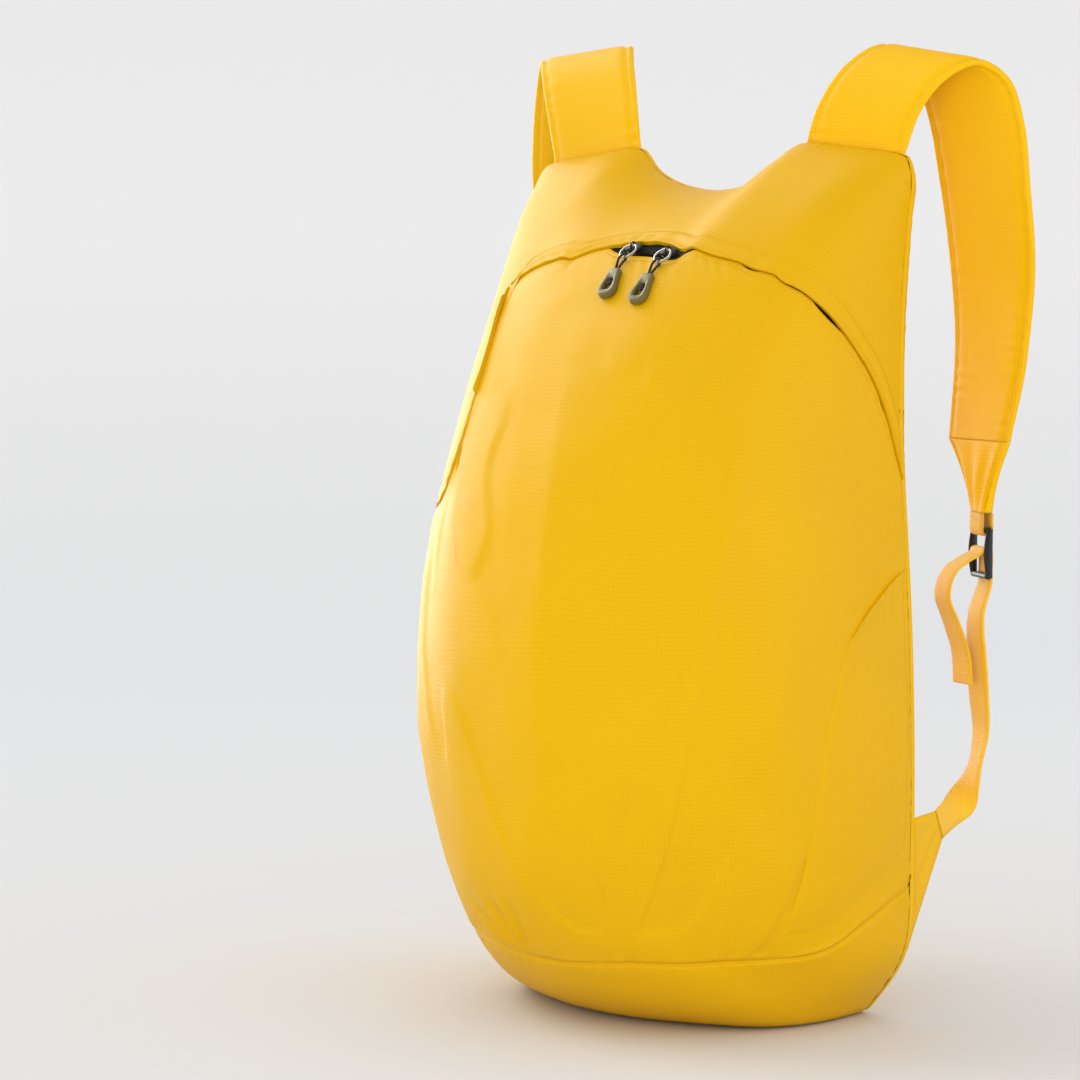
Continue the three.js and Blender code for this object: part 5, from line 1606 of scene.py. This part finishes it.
for side, mirror in (("right", False), ("left", True)):
    strap = band(
        f"strap_{side}", strap_line(side), strap_section(), strap_cloth, "strap_fabric",
        [f"shoulder_strap_{side}"], strap_relief, mirror,
    )
    band(
        f"strap_end_{side}", strap_tip_line(), strap_section(), strap_cloth, "strap_fabric",
        [f"strap_tip_{side}"], tip_relief, mirror,
    )
    band(
        f"webbing_{side}", webbing_line(), FLAT, webbing_cloth, "webbing",
        [f"adjuster_webbing_{side}"], None, mirror,
    )
    band(
        f"lock_loop_{side}", loop_line(), FLAT, webbing_cloth, "webbing",
        [f"buckle_loop_{side}"], None, mirror,
    )
    lock(side, mirror)
    wing(side, mirror)
print("straps made")

# %% [markdown]
# ## Stage and light
#
# The floor is pale and turns up into a pale backdrop far behind the bag. Two large soft lights
# stand to the left: one only lights the cloth, and one only shines back from it, and the near
# edge of the second ends the bright band on the front's ridge. A low lamp lightens the foot, and
# one lamp lights the straps alone. The photograph is retouched, and its light is more even than
# plain lamps would give, so the lamps are linked to the pieces that they are meant for. The
# floor takes its light from the sky and from a weak sun, which also makes the soft shadow.

# %% Floor and backdrop
FLOOR_PAINT, BACKDROP_PAINT, PAINT_RISE = (0.8, 0.805, 0.815), (0.93, 0.93, 0.93), 0.4


def stage():
    run_out, bend, up = 2.6, 1.2, 3.2
    profile = [(-3.0, 0.0), (run_out - bend, 0.0)]
    profile += [
        (run_out - bend + bend * math.sin(a), bend - bend * math.cos(a))
        for a in np.linspace(0, math.pi / 2, 24)[1:]
    ]
    profile.append((run_out, up))
    rows = np.array([[(x, y, z) for x in np.linspace(-4, 4, 9)] for y, z in profile])
    c, s = math.cos(turn), math.sin(turn)
    rows = rows @ np.array([[c, s, 0], [-s, c, 0], [0, 0, 1]])
    mesh = bpy.data.meshes.new("stage")
    mesh.from_pydata(rows.reshape(-1, 3).tolist(), [], grid_faces(*rows.shape[:2]))
    mesh.shade_smooth()
    paint = Finish("stage_paint", FLOOR_PAINT, 0.9, Specular_IOR_Level=0.05)
    place_of = paint.node("ShaderNodeTexCoord", "Object")
    split = paint.tree.nodes.new("ShaderNodeSeparateXYZ")
    paint.tree.links.new(place_of, split.inputs[0])
    share = paint.math("MULTIPLY", split.outputs[2], 1 / PAINT_RISE)
    share = paint.math("MINIMUM", paint.math("MAXIMUM", share, 0.0), 1.0)
    paint.set("Base Color", paint.mix(share, (*FLOOR_PAINT, 1.0), (*BACKDROP_PAINT, 1.0)))
    mesh.materials.append(paint.material)
    piece = bpy.data.objects.new("stage", mesh)
    bpy.context.scene.collection.objects.link(piece)


stage()


def area_light(name, place_at, aim_at, wide, high, power, color=(1, 1, 1)):
    data = bpy.data.lights.new(name, "AREA")
    data.shape = "RECTANGLE"
    data.size, data.size_y = wide, high
    data.energy = power
    data.color = color
    light = bpy.data.objects.new(name, data)
    bpy.context.scene.collection.objects.link(light)
    light.location = place_at
    aim = Vector(aim_at) - Vector(place_at)
    light.rotation_euler = aim.to_track_quat("-Z", "Z").to_euler()
    return light


KEY_STRENGTH, WORLD_STRENGTH = 0.5, 0.9
lit = bpy.data.collections.new("lit_by_the_softboxes")
for piece in bpy.data.objects:
    if "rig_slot" in piece:
        lit.objects.link(piece)
softboxes = [
    area_light("left_softbox", (-1.3, 0.2, 0.55), (0, 0, 0.25), 2.4, 1.6, 20),
    area_light("left_sheen", (-1.3, 0.1, 0.3), (0, 0, 0.25), 3.2, 1.1, 62),
    area_light("low_front", (0.42, -0.62, 0.04), (0, 0, 0.05), 0.9, 0.12, 2.8),
    area_light("right_softbox", (1.3, 0.5, 0.7), (0, 0.08, 0.3), 1.4, 1.2, 6),
    area_light("strap_lamp", (0.9, -1.1, 0.45), (0.15, 0.1, 0.3), 0.8, 0.8, 7),
]
softboxes[0].visible_glossy = False
softboxes[1].visible_diffuse = False
softboxes[2].visible_glossy = softboxes[2].visible_camera = False
for softbox in softboxes:
    softbox.light_linking.receiver_collection = lit
hanging = bpy.data.collections.new("lit_by_the_strap_lamp")
for piece in lit.objects:
    if piece.name.startswith(("strap_", "webbing_", "wing_")):
        hanging.objects.link(piece)
softboxes[-1].light_linking.receiver_collection = hanging

key = bpy.data.objects.new("key", bpy.data.lights.new("key", "SUN"))
key.data.energy = KEY_STRENGTH
key.data.angle = math.radians(30)
key.rotation_euler = Vector((0.75, 0.35, -1.0)).to_track_quat("-Z", "Z").to_euler()
bpy.context.scene.collection.objects.link(key)

world = bpy.data.worlds.new("studio")
world.use_nodes = True
nodes, links = world.node_tree.nodes, world.node_tree.links
path = nodes.new("ShaderNodeLightPath")
dimmer = nodes.new("ShaderNodeMath")
dimmer.operation = "MULTIPLY_ADD"
links.new(path.outputs["Is Glossy Ray"], dimmer.inputs[0])
dimmer.inputs[1].default_value = -WORLD_STRENGTH * 0.7
dimmer.inputs[2].default_value = WORLD_STRENGTH
nodes["Background"].inputs[0].default_value = (1, 1, 1, 1)
links.new(dimmer.outputs[0], nodes["Background"].inputs[1])
bpy.context.scene.world = world
bpy.context.scene.view_settings.view_transform = "Standard"
